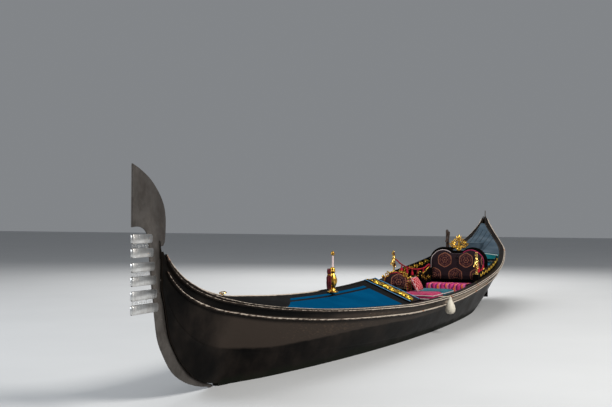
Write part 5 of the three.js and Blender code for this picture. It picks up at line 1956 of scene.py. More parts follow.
def pillow_mesh(name: str, size: Sequence[float], puff: float, seat: Matrix, folds: float = 0.004,
                seed: int = 3, steps: int = 26) -> Thing:
    """Makes a loose cushion: two crowned faces that meet in a seam, with pulled-in sides.

    Args:
        name: the piece's name.
        size: its width, height and thickness.
        puff: how full it is towards its edges, from 0 to 1.
        seat: places it in the boat.
        folds: how deep the small creases at its corners are.
        seed: the start of the creases' shape.
        steps: faces along each edge.

    Returns:
        The cushion, with its sheet's coordinates as its UV map.
    """
    wide, high, thick = size
    draw = random.Random(seed)
    phase = [draw.uniform(0, math.tau) for _ in range(4)]
    body = bmesh.new()
    sheet = body.loops.layers.uv.new("UVMap")
    vertices: dict[tuple[int, int, int], bmesh.types.BMVert] = {}
    for k, face in enumerate((1, -1)):
        for j in range(steps + 1):
            for i in range(steps + 1):
                rim = i in (0, steps) or j in (0, steps)
                if rim and k:
                    vertices[k, j, i] = vertices[0, j, i]
                    continue
                u, v = 2 * i / steps - 1, 2 * j / steps - 1
                y, z = waisted(u, v, wide, high)
                edge = (1 - u ** 2) * (1 - v ** 2)
                crown = thick / 2 * clamp(edge) ** (0.5 - 0.2 * puff)
                crease = folds * math.sin(9 * (abs(u) - abs(v)) + phase[0] + 2 * u) * clamp(u * u * v * v * 3)
                crease += folds * 0.5 * math.sin(5 * u + phase[1]) * math.sin(4 * v + phase[2]) * edge
                x = 0.0 if rim else face * (crown + crease)
                vertices[k, j, i] = body.verts.new(seat @ Vector((x, y, z)))
    for k in (0, 1):
        for j in range(steps):
            for i in range(steps):
                keys = [(j, i), (j, i + 1), (j + 1, i + 1), (j + 1, i)]
                if k:
                    keys.reverse()
                face = body.faces.new([vertices[k, a, b] for a, b in keys])
                for loop, (a, b) in zip(face.loops, keys):
                    loop[sheet].uv = (b / steps * wide, a / steps * high)
    mesh = bpy.data.meshes.new(name)
    body.to_mesh(mesh)
    body.free()
    return linked(name, mesh, 80.0)


def seat_of(node: str, lean: float, turn: float) -> tuple[Matrix, Vector]:
    """Finds the middle and the size of a leaning CAD cushion.

    Args:
        node: the CAD cushion.
        lean: its lean about the boat's y.
        turn: its turn about the vertical.

    Returns:
        The placement, and the size as thickness, width and height.
    """
    turned = Matrix.Rotation(turn, 4, "Z") @ Matrix.Rotation(lean, 4, "Y")
    back = turned.inverted()
    points = [back @ v.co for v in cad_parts[node].data.vertices]
    low = Vector(min(p[k] for p in points) for k in range(3))
    high = Vector(max(p[k] for p in points) for k in range(3))
    return turned @ Matrix.Translation((low + high) / 2), high - low


@dataclass
class Benches:
    """The pads on the side benches, and the loose cushions that lean on the port one."""

    piping: float = 0.005

    def build(self, looks: Finishes) -> None:
        """Makes the pads and the cushions."""
        for node, finish, edge, slot in (
            ("bench_pad_pink", looks.pink, looks.pale, "pink_fabric"),
            ("bench_pad_teal", looks.aqua, looks.pale, "teal_fabric"),
            ("bench_pad_starboard", looks.brocade_flat, looks.wine, "brocade"),
        ):
            name = node.replace("bench_pad", "pad")
            pad = pad_in(node, name, finish, slot, Swelling(), (0, 0, 0), (0, 0, 0.006))
            self._edges(pad, node, edge, "brocade" if edge is looks.wine else "pink_fabric")
        self._cushions(looks)

    def _edges(self, pad: Thing, node: str, finish: Material, slot: str) -> None:
        """Adds the corded edges round the pad's top and bottom.

        Args:
            pad: the pad.
            node: its CAD solid.
            finish: the cord's material.
            slot: the record's material slot.
        """
        low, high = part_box(node)
        inset = 0.012
        (west, east), (south, north) = ((low[k] + inset, high[k] - inset) for k in (0, 1))
        for tag, z in (("top", high[2] - inset), ("foot", low[2] + inset)):
            ring = [Vector((*corner, z))
                    for corner in ((west, south), (east, south), (east, north), (west, north))]
            path = [a.lerp(b, k / 24) for a, b in zip(ring, [*ring[1:], ring[0]]) for k in range(24)]
            cord = piping(f"{pad.name}_{tag}_piping", pad, [*path, path[0]], self.piping)
            settle(cord.made(finish), slot)

    def _cushions(self, looks: Finishes) -> None:
        """Makes the two loose cushions."""
        for node, lean, finish, edge, slot in (
            ("cushion_striped", -0.5, looks.lattice, looks.pale, "crimson_fabric"),
            ("cushion_dotted", -0.06, looks.dotted, looks.pink, "brocade"),
        ):
            seat, size = seat_of(node, lean, math.pi / 2)
            name = node.replace("cushion_", "loose_")
            loose_cushion(name, (size.y, size.z, size.x), seat, finish, edge, slot, node)


def loose_cushion(name: str, size: Sequence[float], seat: Matrix, finish: Material,
                  edge: Material, slot: str, node: str) -> None:
    """Makes a loose cushion with its corded seam and settles both.

    Args:
        name: the piece's name.
        size: its width, height and thickness.
        seat: places it in the boat.
        finish: its material.
        edge: the cord's material.
        slot: the record's material slot.
        node: its CAD solid.
    """
    cushion = pillow_mesh(name, size, 0.6, seat)
    cushion.data.materials.append(finish)
    settle(cushion, slot, node)
    wide, high, _ = size
    path = []
    corners = [(-1, -1), (1, -1), (1, 1), (-1, 1)]
    for (a, b), (c, d) in zip(corners, [*corners[1:], corners[0]]):
        for k in range(14):
            y, z = waisted(mix(a, c, k / 14), mix(b, d, k / 14), wide, high)
            path.append(seat @ Vector((0.0, y * 0.995, z * 0.995)))
    rope = Shape(f"{name}_piping")
    rope.tube([*path, path[0]], 0.0035, 8)
    settle(rope.made(edge), slot)


def thickened(mesh: bpy.types.Mesh, finish: Material, thick: float, offset: float) -> Thing:
    """Makes a cloth of a sheet.

    Args:
        mesh: the sheet, with the piece's name.
        finish: its material.
        thick: the cloth's thickness.
        offset: where the sheet lies in it, from -1 to 1.

    Returns:
        The cloth, with no modifiers.
    """
    mesh.materials.append(finish)
    cloth = placed(mesh.name, mesh)
    shell = cloth.modifiers.new("thick", "SOLIDIFY")
    shell.thickness = thick
    shell.offset = offset
    bake_modifiers(cloth)
    return smoothed(cloth)


@dataclass
class Sofa:
    """The two-seat sofa: back, seat, arms, crest and rug."""

    back_x: float = x_at(8.3)
    front_x: float = x_at(7.76)
    middle: float = 0.13
    half: float = 0.43
    seat_top: float = 0.35
    crown: float = 0.86
    notch: float = 0.86

    def build(self, looks: Finishes) -> None:
        """Makes each piece of the sofa."""
        self._seat(looks)
        self._back(looks)
        self._arms(looks)
        self._crest(looks)
        self._rug(looks)

    def _lobes(self, grow: float, foot: float, steps: int = 16) -> list[Point2]:
        """Gives the outline of the back in y and z, from the port foot over both lobes."""
        lobe = self.half / 2
        high = self.crown - lobe
        reach = lobe + grow
        points = [(self.middle + self.half + grow, foot)]
        for side, start, end in ((1, 0.0, math.pi - self.notch), (-1, self.notch, math.pi)):
            for k in range(steps + 1):
                a = mix(start, end, k / steps)
                points.append((self.middle + side * lobe + reach * math.cos(a), high + reach * math.sin(a)))
        points.append((self.middle - self.half - grow, foot))
        return points

    def _seat(self, looks: Finishes) -> None:
        """Makes the seat cushion with its front seam."""
        node = "sofa_seat_cushion"
        low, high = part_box(node)
        seat = pad_in(node, "sofa_seat", looks.brocade_flat, "brocade", Swelling(),
                      (0.001, 0.001, 0.001), (0.008, -0.001, -0.0005))
        path = [Vector((high[0] - 0.004, mix(low[1] + 0.02, high[1] - 0.02, k / 40), high[2] - 0.012))
                for k in range(41)]
        settle(piping("sofa_seat_piping", seat, path, 0.005).made(looks.wine), "brocade")

    def _back(self, looks: Finishes) -> None:
        """Makes the padded back with its piping, and the frame behind it."""
        node = "sofa_back"
        _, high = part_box(node)
        split = [Vector((high[0] + 0.005, self.middle, z)) for z in (0.4 + 0.012 * k for k in range(30))]
        back = pad_in(node, "sofa_back_pad", looks.brocade, "brocade", Swelling(cap=0.024, shrink=0.008),
                      (0.0005, -0.004, 0), (0.014, 0.004, 0.004), split)
        outline = self._lobes(-0.010, self.seat_top + 0.02)
        middle = len(outline) // 2
        for tag, part, finish, radius in (("port", outline[:middle], looks.pink, 0.0075),
                                          ("starboard", outline[middle:], looks.pale, 0.0045)):
            path = curve_through([(high[0] - 0.004, y, z) for y, z in part], 2)
            settle(piping(f"sofa_back_{tag}_piping", back, path, radius).made(finish), "pink_fabric")
        self._frame(looks)

    def _frame(self, looks: Finishes) -> None:
        """Makes the polished frame behind the back."""
        low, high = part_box("sofa_back_frame")
        shape = Shape("sofa_back_shell")
        middle = (low[0] + high[0]) / 2
        outline = self._lobes(0.002, low[2] + 0.002)
        shape.plate(outline, lambda u, v, h: Vector((middle + h, u, v)), high[0] - low[0], 0.005)
        settle(shape.made(looks.trim), "trim_black", "sofa_back_frame")
        rim = Shape("sofa_back_rim")
        rim.tube(curve_through([(middle + 0.004, y, z) for y, z in self._lobes(-0.004, 0.36)], 2), 0.008, 10)
        settle(rim.made(looks.trim), "trim_black")

    def _arms(self, looks: Finishes) -> None:
        """Makes both carved arms with gilt carving and a row of gilt beads along their tops."""
        for side in Side:
            node = f"sofa_arm_{side.tag}"
            low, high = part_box(node)
            middle = (low[1] + high[1]) / 2
            thick = high[1] - low[1] - 0.004
            arm, outline = plate_from(node, f"sofa_arm_board_{side.tag}", middle, 35.0, thick, 0.012)
            settle(arm.made(looks.trim, crease=50), "trim_black", node)
            top = sorted((p for p in outline if p[1] > self.seat_top + 0.1), key=lambda p: -p[0])
            gilt = Shape(f"sofa_arm_carving_{side.tag}")
            for hand in (side.value, -side.value):
                y = middle + hand * thick / 2
                cut = Carving(gilt, lambda u, v, h, y=y, hand=hand: Vector((u, y + hand * (h - 0.003), v)),
                              Vector((0, hand, 0)))
                cut.scroll((self.back_x + 0.545, 0.468), 0.044, math.pi / 2, 1.6, 0.006, 1)
                cut.vine(self.back_x + 0.06, self.back_x + 0.48, 0.43, 0.04, 4, 0.005)
            settle(gilt.made(looks.gilt), "gilt")
            line = [Vector((x, middle + side.value * 0.012, z + 0.002)) for x, z in top[::2]]
            beads = row_of(f"sofa_arm_beads_{side.tag}", line, Bead.BALL, 0.034, 0.013, looks.gilt, 0.002)
            settle(beads, "gilt")

    def _crest(self, looks: Finishes) -> None:
        """Makes the pierced gilt crown over the notch: scrolls, leaves and a middle palm."""
        low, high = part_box("sofa_crest")
        middle = (low[0] + high[0]) / 2
        crest = Shape("crest_carving")
        scale = high[2] - low[2]
        cut = Carving(crest, lambda u, v, h: Vector((middle + h - 0.004, self.middle + u, low[2] + v)), AHEAD)
        cut.stroke([(0.0, 0.0), (0.0, scale * 0.5), (0.0, scale * 0.8)], [0.026, 0.02, 0.012], 0.0, 0.6)
        cut.leaf((0.0, scale * 0.72), (0.0, scale * 0.995), 0.02, 0.0, 0.004)
        for hand in (1, -1):
            for foot, tip, width, bend in (
                ((0.004, 0.70), (0.036, 0.93), 0.011, -0.1), ((0.01, 0.66), (0.062, 0.80), 0.011, -0.14),
                ((0.05, 0.45), (0.13, 0.63), 0.012, 0.16), ((0.06, 0.40), (0.155, 0.5), 0.012, 0.16),
                ((0.05, 0.33), (0.118, 0.38), 0.01, -0.15), ((0.02, 0.12), (0.05, 0.3), 0.012, 0.14),
            ):
                cut.leaf((hand * foot[0], foot[1] * scale), (hand * tip[0], tip[1] * scale), width,
                         bend * hand, 0.005)
            cut.scroll((hand * 0.052, scale * 0.60), 0.034, math.pi / 2, 1.25, 0.0095, -hand)
            cut.scroll((hand * 0.108, scale * 0.47), 0.03, math.pi / 2, 1.1, 0.0085, hand)
            cut.scroll((hand * 0.04, scale * 0.36), 0.026, -math.pi / 2, 1.0, 0.008, hand)
            cut.stroke([(0.0, scale * 0.2), (hand * 0.04, scale * 0.34), (hand * 0.1, scale * 0.36),
                        (hand * 0.14, scale * 0.47)], [0.011, 0.01, 0.008, 0.005], 0.002)
        settle(crest.made(looks.gilt), "gilt", "sofa_crest")

    def _rug(self, looks: Finishes) -> None:
        """Makes the rug: a thin sheet over the seat and down its front, with a fringe."""
        low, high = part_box("sofa_rug")
        seat = self.seat_top
        front = self.front_x
        section = [(low[0], seat + 0.009), (front - 0.1, seat + 0.011), (front - 0.01, seat + 0.011),
                   (front + 0.016, seat + 0.003), (front + 0.0255, seat - 0.02), (front + 0.027, seat - 0.06),
                   (front + 0.0275, low[2] + 0.006)]
        path = [Vector((p.x, 0.0, p.y)) for p in curve_through(section, 8)]
        count = 48
        body = bmesh.new()
        sheet = body.loops.layers.uv.new("UVMap")
        draw = random.Random(11)
        phase = [draw.uniform(0, math.tau) for _ in range(3)]
        grid, far = [], [0.0]
        for a, b in zip(path, path[1:]):
            far.append(far[-1] + (b - a).length)
        for i, point in enumerate(path):
            row = []
            hang = clamp((far[i] - 0.33) / 0.12)
            for j in range(count + 1):
                y = mix(low[1], high[1], j / count)
                wave = 0.004 * math.sin(17 * y + phase[0]) + 0.003 * math.sin(31 * y + phase[1])
                lift = 0.0012 * (1 + math.sin(23 * y + 19 * point.x + phase[2])) * (1 - hang)
                row.append(body.verts.new((point.x + wave * hang - 0.003 * hang, y, point.z + lift)))
            grid.append(row)
        for i in range(len(path) - 1):
            for j in range(count):
                face = body.faces.new((grid[i][j], grid[i][j + 1], grid[i + 1][j + 1], grid[i + 1][j]))
                for loop, (a, b) in zip(face.loops, ((i, j), (i, j + 1), (i + 1, j + 1), (i + 1, j))):
                    loop[sheet].uv = (far[a], b / count * (high[1] - low[1]))
        mesh = bpy.data.meshes.new("rug")
        body.to_mesh(mesh)
        body.free()
        rug = settle(thickened(mesh, looks.rug, 0.005, 0.0), "pink_fabric", "sofa_rug")
        edge = [Vector((path[-1].x, mix(low[1] + 0.004, high[1] - 0.004, k / 60), low[2] + 0.0335))
                for k in range(61)]
        fringe = row_of("rug_fringe", edge, Bead.THREAD, 0.011, 0.0023, looks.pink, 0.0004, 5)
        settle(fringe, "pink_fabric")


@dataclass
class SideBoards:
    """The boards beside the sofa with their gilt carving, and the sea-horses on their posts."""

    lines: HullLines
    covering: CoveringBoard
    start: float = 7.14
    end: float = 8.72
    thick: float = 0.022
    crown: float = 0.094
    carved_top: float = 0.084

    def build(self, looks: Finishes) -> None:
        """Makes both boards' carving and both sea-horses."""
        for side in Side:
            node = f"side_board_{side.tag}"
            paint(node, looks.trim, 0.003)
            gilt = Shape(f"side_board_carving_{side.tag}")

            def outer(u: float, v: float, h: float, side: Side = side) -> Vector:
                """A point of the outer face: metres aft, metres over the sheer, off the face."""
                x = x_at(u)
                y = self.covering.inner(side, x) - 0.002 + h
                return Vector((x, side.value * y, self.lines.rail(side, x).z + v))

            def inner(u: float, v: float, h: float, side: Side = side) -> Vector:
                """A point of the inner face."""
                x = x_at(u)
                y = self.covering.inner(side, x) - 0.002 - self.thick - h
                return Vector((x, side.value * y, self.lines.rail(side, x).z + v))

            high = self.carved_top
            for face, sign, low in ((outer, side.value, 0.034), (inner, -side.value, 0.02)):
                cut = Carving(gilt, face, Vector((0, sign, 0)))
                cut.vine(self.start + 0.03, self.end - 0.03, (low + high) / 2, (high - low) / 2, 15, 0.0062)
            settle(gilt.made(looks.bright_gilt), "gilt")
            cap = Shape(f"side_board_cap_{side.tag}")
            path = [outer(mix(self.start, self.end, k / 40), self.crown - 0.004, -self.thick / 2)
                    for k in range(41)]
            cap.tube(path, 0.0085, 10, 0.7, UP)
            settle(cap.made(looks.trim), "trim_black")
            self._sea_horse(side, looks)

    def _sea_horse(self, side: Side, looks: Finishes) -> None:
        """Makes one brass sea-horse: horse's head and forelegs, and a tail that curls up."""
        node = f"sea_horse_{side.tag}"
        low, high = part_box(node)
        foot = Vector((x_at(7.1), (low[1] + high[1]) / 2, low[2]))
        horse = Shape(f"sea_horse_cast_{side.tag}")

        def limb(points: Sequence[tuple], aside: float = 0.0, steps: int = 4) -> None:
            """Adds one limb from rows of millimetres forward and up, and a radius."""
            path = curve_through(points, steps)
            horse.tube([foot + Vector((p.x, 1000 * aside, p.y)) / 1000 for p in path],
                       [max(0.0015, p.z / 1000) for p in path], 12)

        limb([(-62, 66, 3), (-74, 84, 6), (-64, 104, 10), (-38, 110, 14), (-12, 94, 19), (14, 97, 24),
              (30, 122, 28), (26, 158, 27), (10, 190, 23), (5, 222, 18), (13, 248, 16), (28, 264, 17)])
        limb([(16, 256, 17), (32, 266, 18), (50, 266, 15), (66, 256, 11), (80, 247, 10), (86, 243, 7)])
        for aside in (0.009, -0.009):
            limb([(22, 276, 7), (18, 290, 4), (17, 298, 2)], aside)
        limb([(24, 136, 13), (46, 148, 10), (66, 138, 8), (76, 118, 6), (70, 104, 7), (76, 96, 6)], 0.017)
        limb([(24, 126, 13), (48, 122, 10), (72, 130, 8), (88, 122, 6), (92, 106, 7), (99, 100, 5)], -0.017)
        for k in range(9):
            t = k / 8
            x = mix(14, -2, t) - 6 * math.sin(math.pi * t)
            y = mix(284, 168, t)
            limb([(x + 6, y, 7), (x - 8, y + 5, 6), (x - 19 - 5 * math.sin(3.1 * t), y - 3, 2)], 0.0, 3)
        for hand in (1, -1):
            wing = [(10, 170, 9), (-12, 178, 7), (-30, 172, 5), (-44, 182, 2)]
            limb(wing, hand * 0.02)
        stand = [(0.03, 0.0), (0.031, 0.006), (0.029, 0.012), (0.019, 0.017), (0.014, 0.024), (0.0125, 0.04),
                 (0.0115, 0.055), (0.015, 0.064), (0.0125, 0.072), (0.017, 0.098)]
        horse.lathe(foot, stand, 24)
        cast = horse.made(looks.brass)
        remesh = cast.modifiers.new("cast", "REMESH")
        remesh.mode = "VOXEL"
        remesh.voxel_size = 0.0024
        smooth = cast.modifiers.new("polish", "SMOOTH")
        smooth.iterations = 3
        smooth.factor = 0.5
        bake_modifiers(cast)
        cast.data.materials.clear()
        cast.data.materials.append(looks.brass)
        settle(smoothed(cast), "brass", node)


@dataclass
class Chair:
    """The small low-backed armchair on the starboard side."""

    y: float = -0.236
    half: float = 0.176
    back: float = x_at(6.62)
    front: float = x_at(6.2)
    seat: float = 0.27
    skirt: float = 0.09
    floor: float = -0.022
    rail_top: float = 0.365
    arch_foot: float = 0.46
    arch: Point2 = (0.164, 0.121)

    def build(self, looks: Finishes) -> None:
        """Makes the frame, the cushion and the back."""
        self._frame(looks)
        pad_in("chair_cushion", "chair_seat_pad", looks.crimson, "crimson_fabric", Swelling(cap=0.012),
               (0, 0, 0), (0.006, 0.002, 0.008))
        back = pad_in("chair_back", "chair_back_pad", looks.brocade, "brocade", Swelling(cap=0.018),
                      (0.0005, -0.003, 0), (0.012, 0.003, 0.003))
        _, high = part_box("chair_back")
        rim = self._arc(high[0] - 0.006, 1.0)
        settle(piping("chair_back_piping", back, rim, 0.006).made(looks.crimson), "crimson_fabric")
        nails = row_of("chair_back_nails", self._arc(high[0] - 0.012, 1.035), Bead.BALL, 0.022, 0.005,
                       looks.gilt)
        settle(nails, "gilt")
        self._crest(looks, high[0])

    def _arc(self, x: float, grow: float) -> list[Vector]:
        """Gives the line of the back's arch at x, from port to starboard."""
        wide, high = (grow * reach for reach in self.arch)
        return [Vector((x, self.y + wide * math.cos(a), self.arch_foot + high * math.sin(a)))
                for a in (math.pi * k / 40 for k in range(41))]

    def _frame(self, looks: Finishes) -> None:
        """Makes the seat frame, the turned legs and the back's rail."""
        frame_shape = Shape("chair_wood")
        wide = self.half
        foot = self.seat - self.skirt
        frame_shape.box((self.back + 0.002, self.y - wide, foot), (self.front, self.y + wide, self.seat),
                        0.006)
        leg = [(0.017, 0.0), (0.021, 0.015), (0.014, 0.026), (0.018, 0.045), (0.023, 0.098), (0.019, 0.142),
               (0.013, 0.15), (0.02, 0.158), (0.013, 0.167), (0.019, 0.177), (0.019, 0.203)]
        profile = curve_through(leg, 3)
        for x in (self.back + 0.026, self.front - 0.026):
            for side in Side:
                y = self.y + side.value * (wide - 0.024)
                frame_shape.lathe(Vector((x, y, self.floor + GAP)), profile, 20)
        frame_shape.box((self.back, self.y - wide, self.seat - 0.01),
                        (self.back + 0.03, self.y + wide, self.rail_top), 0.005)
        settle(frame_shape.made(looks.trim), "trim_black", "chair_frame")
        gilt = Shape("chair_carving")
        middle, swing = self.seat - self.skirt / 2, 0.034
        cut = Carving(gilt, lambda u, v, h: Vector((self.front + h - 0.003, self.y + u, v)), AHEAD)
        cut.vine(-wide + 0.02, wide - 0.02, middle, swing, 5, 0.006)
        for side in Side:
            sign = side.value
            cut = Carving(gilt, lambda u, v, h, s=sign: Vector((u, self.y + s * wide + s * (h - 0.003), v)),
                          Vector((0, sign, 0)))
            cut.vine(self.back + 0.03, self.front - 0.02, middle, swing, 5, 0.006)
        settle(gilt.made(looks.gilt), "gilt")

    def _crest(self, looks: Finishes, face: float) -> None:
        """Adds a gilt scroll on each shoulder of the back and a boss beside it."""
        gilt = Shape("chair_crest")
        cut = Carving(gilt, lambda u, v, h: Vector((face - 0.01 + h, self.y + u, v)), AHEAD)
        foot = self.arch_foot
        for hand in (1, -1):
            cut.scroll((hand * 0.128, foot + 0.088), 0.038, math.pi / 2, 1.4, 0.0095, hand)
            cut.leaf((hand * 0.1, foot + 0.112), (hand * 0.035, foot + 0.142), 0.013, 0.16 * hand)
            cut.leaf((hand * 0.155, foot + 0.06), (hand * 0.172, foot), 0.011, -0.16 * hand)
            boss = Vector((face - 0.03, self.y + hand * 0.188, self.arch_foot + 0.056))
            gilt.lathe(boss, [(0.006, -0.012), (0.019, -0.009), (0.021, 0.0), (0.017, 0.008), (0.01, 0.011),
                              (0.008, 0.016), (0.002, 0.018)], 20, AHEAD)
            gilt.tube([boss, boss + Vector((-0.004, -hand * 0.016, -0.012)),
                       boss + Vector((-0.008, -hand * 0.03, -0.022))], 0.006, 8)
        settle(gilt.made(looks.gilt), "gilt")


@dataclass
class ForeDeckFittings:
    """What stands on the fore deck: the gilt finial, its furled pennant and the mooring ring."""

    x: float = x_at(3.36)
    y: float = 0.12
    foot: float = 0.556

    def build(self, looks: Finishes) -> None:
        """Makes the finial, the cloth and the ring."""
        body = [(0.052, 0.0), (0.055, 0.006), (0.052, 0.012), (0.034, 0.018), (0.028, 0.026), (0.022, 0.044),
                (0.027, 0.056), (0.035, 0.078), (0.0415, 0.108), (0.0395, 0.134), (0.03, 0.16),
                (0.021, 0.178), (0.017, 0.186), (0.025, 0.196), (0.0265, 0.206), (0.021, 0.214),
                (0.0235, 0.224), (0.019, 0.234), (0.011, 0.244)]
        gilt = Shape("finial_gilt")
        foot = Vector((self.x, self.y, self.foot))
        self._gadrooned(gilt, foot, body)
        knob = [(0.006, 0.352), (0.016, 0.360), (0.0185, 0.372), (0.017, 0.384), (0.009, 0.392),
                (0.004, 0.3995)]
        gilt.lathe(foot, knob, 24)
        cut = Carving(gilt, lambda u, v, h: foot + Vector((0.05 + u, h - 0.004, v)), Vector((0, 1, 0)))
        cut.scroll((0.012, 0.03), 0.026, math.pi, 1.3, 0.007, -1)
        cut.scroll((-0.112, 0.026), 0.022, 0.0, 1.2, 0.006, 1)
        settle(gilt.made(looks.gilt), "gilt", "pennant_finial")
        staff = Shape("finial_staff")
        staff.lathe(foot, [(0.0095, 0.242), (0.0085, 0.3), (0.0078, 0.354)], 16)
        settle(staff.made(looks.marble), "gilt")
        self._cloth(looks)
        self._ring(looks)

    def _gadrooned(self, shape: Shape, foot: Vector, profile: Sequence[Point2]) -> None:
        """Turns the body and works ribs into its swelling."""
        sides = 60
        rings = []
        for row in curve_through(profile, 3):
            depth = 0.06 * clamp(1 - abs(row.y - 0.105) / 0.06)
            rings.append([foot + circle(row.x * (1 + depth * math.cos(10 * math.tau * k / sides)),
                                        math.tau * k / sides, row.y) for k in range(sides)])
        shape.rings(rings)

    def _cloth(self, looks: Finishes) -> None:
        """Hangs the furled pennant in pleats, and ties it with a gilt cord."""
        low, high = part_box("pennant_cloth")
        middle = Vector(((low[0] + high[0]) / 2, (low[1] + high[1]) / 2, 0.0))
        half = Vector(((high[0] - low[0]) / 2, (high[1] - low[1]) / 2))
        rows, around, thick = 34, 96, 0.0016
        grid = []
        for i in range(rows + 1):
            t = i / rows
            z = mix(high[2] - 0.002, low[2] + 0.002, t)
            swell = 0.34 + 0.62 * math.sin(math.pi * clamp(0.08 + 0.78 * t)) ** 0.8
            if abs(t - 0.3) < 0.12:
                swell *= 1 - 0.4 * (1 - abs(t - 0.3) / 0.12)
            ring = []
            for k in range(around):
                angle = math.tau * 0.985 * k / (around - 1)
                pleat = 1 + 0.2 * math.sin(7 * angle + 1.6 * t) + 0.07 * math.sin(16 * angle - 2 * t)
                r = swell * pleat * 0.8
                drop = 0.004 * math.sin(7 * angle)
                ring.append(middle + Vector((half.x * r * math.cos(angle), half.y * r * math.sin(angle),
                                             z + drop)))
            grid.append(ring)
        mesh = bpy.data.meshes.new("pennant")
        points = [p for ring in grid for p in ring]
        faces = [(i * around + k, i * around + k + 1, (i + 1) * around + k + 1, (i + 1) * around + k)
                 for i in range(rows) for k in range(around - 1)]
        mesh.from_pydata(points, [], faces)
        cloth = settle(thickened(mesh, looks.wine, thick, -1.0), "crimson_fabric", "pennant_cloth")
        girth = sum((b - a).length for a, b in zip(grid[rows // 2], grid[rows // 2][1:]))
        tie = Shape("pennant_tie")
        ring = [p + (p - middle - Vector((0, 0, p.z))) * 0.05 for p in grid[round(rows * 0.3)][::3]]
        tie.tube([*ring, ring[0]], 0.003, 6)
        tied = settle(tie.made(looks.yellow), "gilt")
        staff = Shape("pennant_hanger")
        top = Vector((middle.x, middle.y, high[2] - 0.01))
        staff.tube([Vector((self.x, self.y, self.foot + 0.228)),
                    Vector((self.x + 0.04, self.y, self.foot + 0.24)), top], 0.004, 8)
        settle(staff.made(looks.gilt), "gilt")

    def _ring(self, looks: Finishes) -> None:
        """Lays the brass mooring ring and its eye on the ridge."""
        seat = Vector((x_at(1.34), 0.0, 0.680))
        ring = Shape("ridge_ring")
        middle = seat + Vector((-0.018, 0, 0.012))
        turned = Matrix.Rotation(math.radians(12), 3, "Y")
        path = [middle + turned @ circle(0.026, math.tau * k / 28) for k in range(29)]
        ring.tube(path, 0.0042, 8)
        eye = [(0.017, 0.0), (0.017, 0.004), (0.009, 0.007), (0.006, 0.014), (0.003, 0.017)]
        ring.lathe(seat - Vector((0, 0, 0.004)), eye, 20)
        settle(ring.made(looks.brass), "brass")


@dataclass
class RowingCrutch:
    """The walnut rowing crutch on the starboard quarter."""

    thick: float = 0.04

    def build(self, looks: Finishes) -> None:
        """Makes the crutch with its carved hollows."""
        low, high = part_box("forcola")
        shape, _ = plate_from("forcola", "crutch_carved", (low[1] + high[1]) / 2, 60.0, self.thick, 0.011, 4)
        crutch = shape.made(looks.walnut, crease=80)
        round_off = crutch.modifiers.new("round", "BEVEL")
        round_off.width = 0.006
        round_off.segments = 3
        round_off.angle_limit = math.radians(25)
        bake_modifiers(crutch)
        settle(crutch, "rowing_wood", "forcola")


def twisted(name: str, path: Sequence[Vector], radius: float, lay: float) -> tuple[Shape, float]:
    """Lays three strands round a path.

    Args:
        name: the cord's name.
        path: its centreline.
        radius: half its thickness.
        lay: metres to one turn of the strands.

    Returns:
        The cord's shape and its length.
    """
    cord = Shape(name)
    far = [0.0]
    for a, b in zip(path, path[1:]):
        far.append(far[-1] + (b - a).length)
    frames = []
    side = (path[1] - path[0]).orthogonal().normalized()
    for i in range(len(path)):
        ahead = (path[min(i + 1, len(path) - 1)] - path[max(i - 1, 0)]).normalized()
        side = (side - ahead * side.dot(ahead)).normalized()
        frames.append((side.copy(), ahead.cross(side)))
    for strand in range(3):
        points = []
        for point, reach, (across, top) in zip(path, far, frames):
            angle = math.tau * (reach / lay + strand / 3)
            points.append(point + (across * math.cos(angle) + top * math.sin(angle)) * radius * 0.46)
        cord.tube(points, radius * 0.56, 7)
    return cord, far[-1]


@dataclass
class Fender:
    """The white fender and the lanyard that carries it over the rail."""

    lines: HullLines
    covering: CoveringBoard
    x: float = x_at(5.12)
    radius: float = 0.006
    rows: tuple[Point2, ...] = ((-0.132, 0.008), (-0.09, 0.008), (-0.052, 0.009), (-0.022, 0.012))

    def build(self, looks: Finishes) -> None:
        """Makes the fender, its eye and the twisted lanyard."""
        low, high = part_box("fender")
        foot = Vector((self.x, (low[1] + high[1]) / 2, low[2]))
        profile = [(0.006, 0.0), (0.022, 0.003), (0.038, 0.009), (0.05, 0.024), (0.0555, 0.046),
                   (0.0557, 0.06), (0.051, 0.086), (0.0415, 0.11), (0.031, 0.132), (0.022, 0.15),
                   (0.016, 0.163), (0.0175, 0.167), (0.0175, 0.177), (0.0125, 0.182),
                   (0.0095, high[2] - low[2] - 0.0005)]
        body = Shape("fender_ball")
        body.lathe(foot, curve_through(profile, 3), 48)
        ball = settle(body.made(looks.rubber, crease=60), "fender_white", "fender")
        self._lanyard(looks, foot, high[2])

    def _lanyard(self, looks: Finishes, foot: Vector, head: float) -> None:
        """Lays the cord from the covering board over the rail and down through the fender."""
        rail = self.lines.rail(Side.PORT, self.x).z + self.covering.top(self.x)
        route = [Vector((self.x, foot.y + across, rail + up)) for across, up in self.rows]
        route += [Vector((self.x, foot.y - 0.0005, head + 0.009)), Vector((self.x, foot.y, head + 0.0015))]
        route += [Vector((self.x, foot.y, head - 0.01)), Vector((self.x, foot.y, foot.z + 0.012))]
        path = cord_through(route, 0.006)
        cord, far = twisted("lanyard", path, self.radius, 0.03)
        rope = settle(cord.made(looks.rope), "cord", "fender_lanyard")
        tuple(path[0])
        [tuple(p) for p in path]


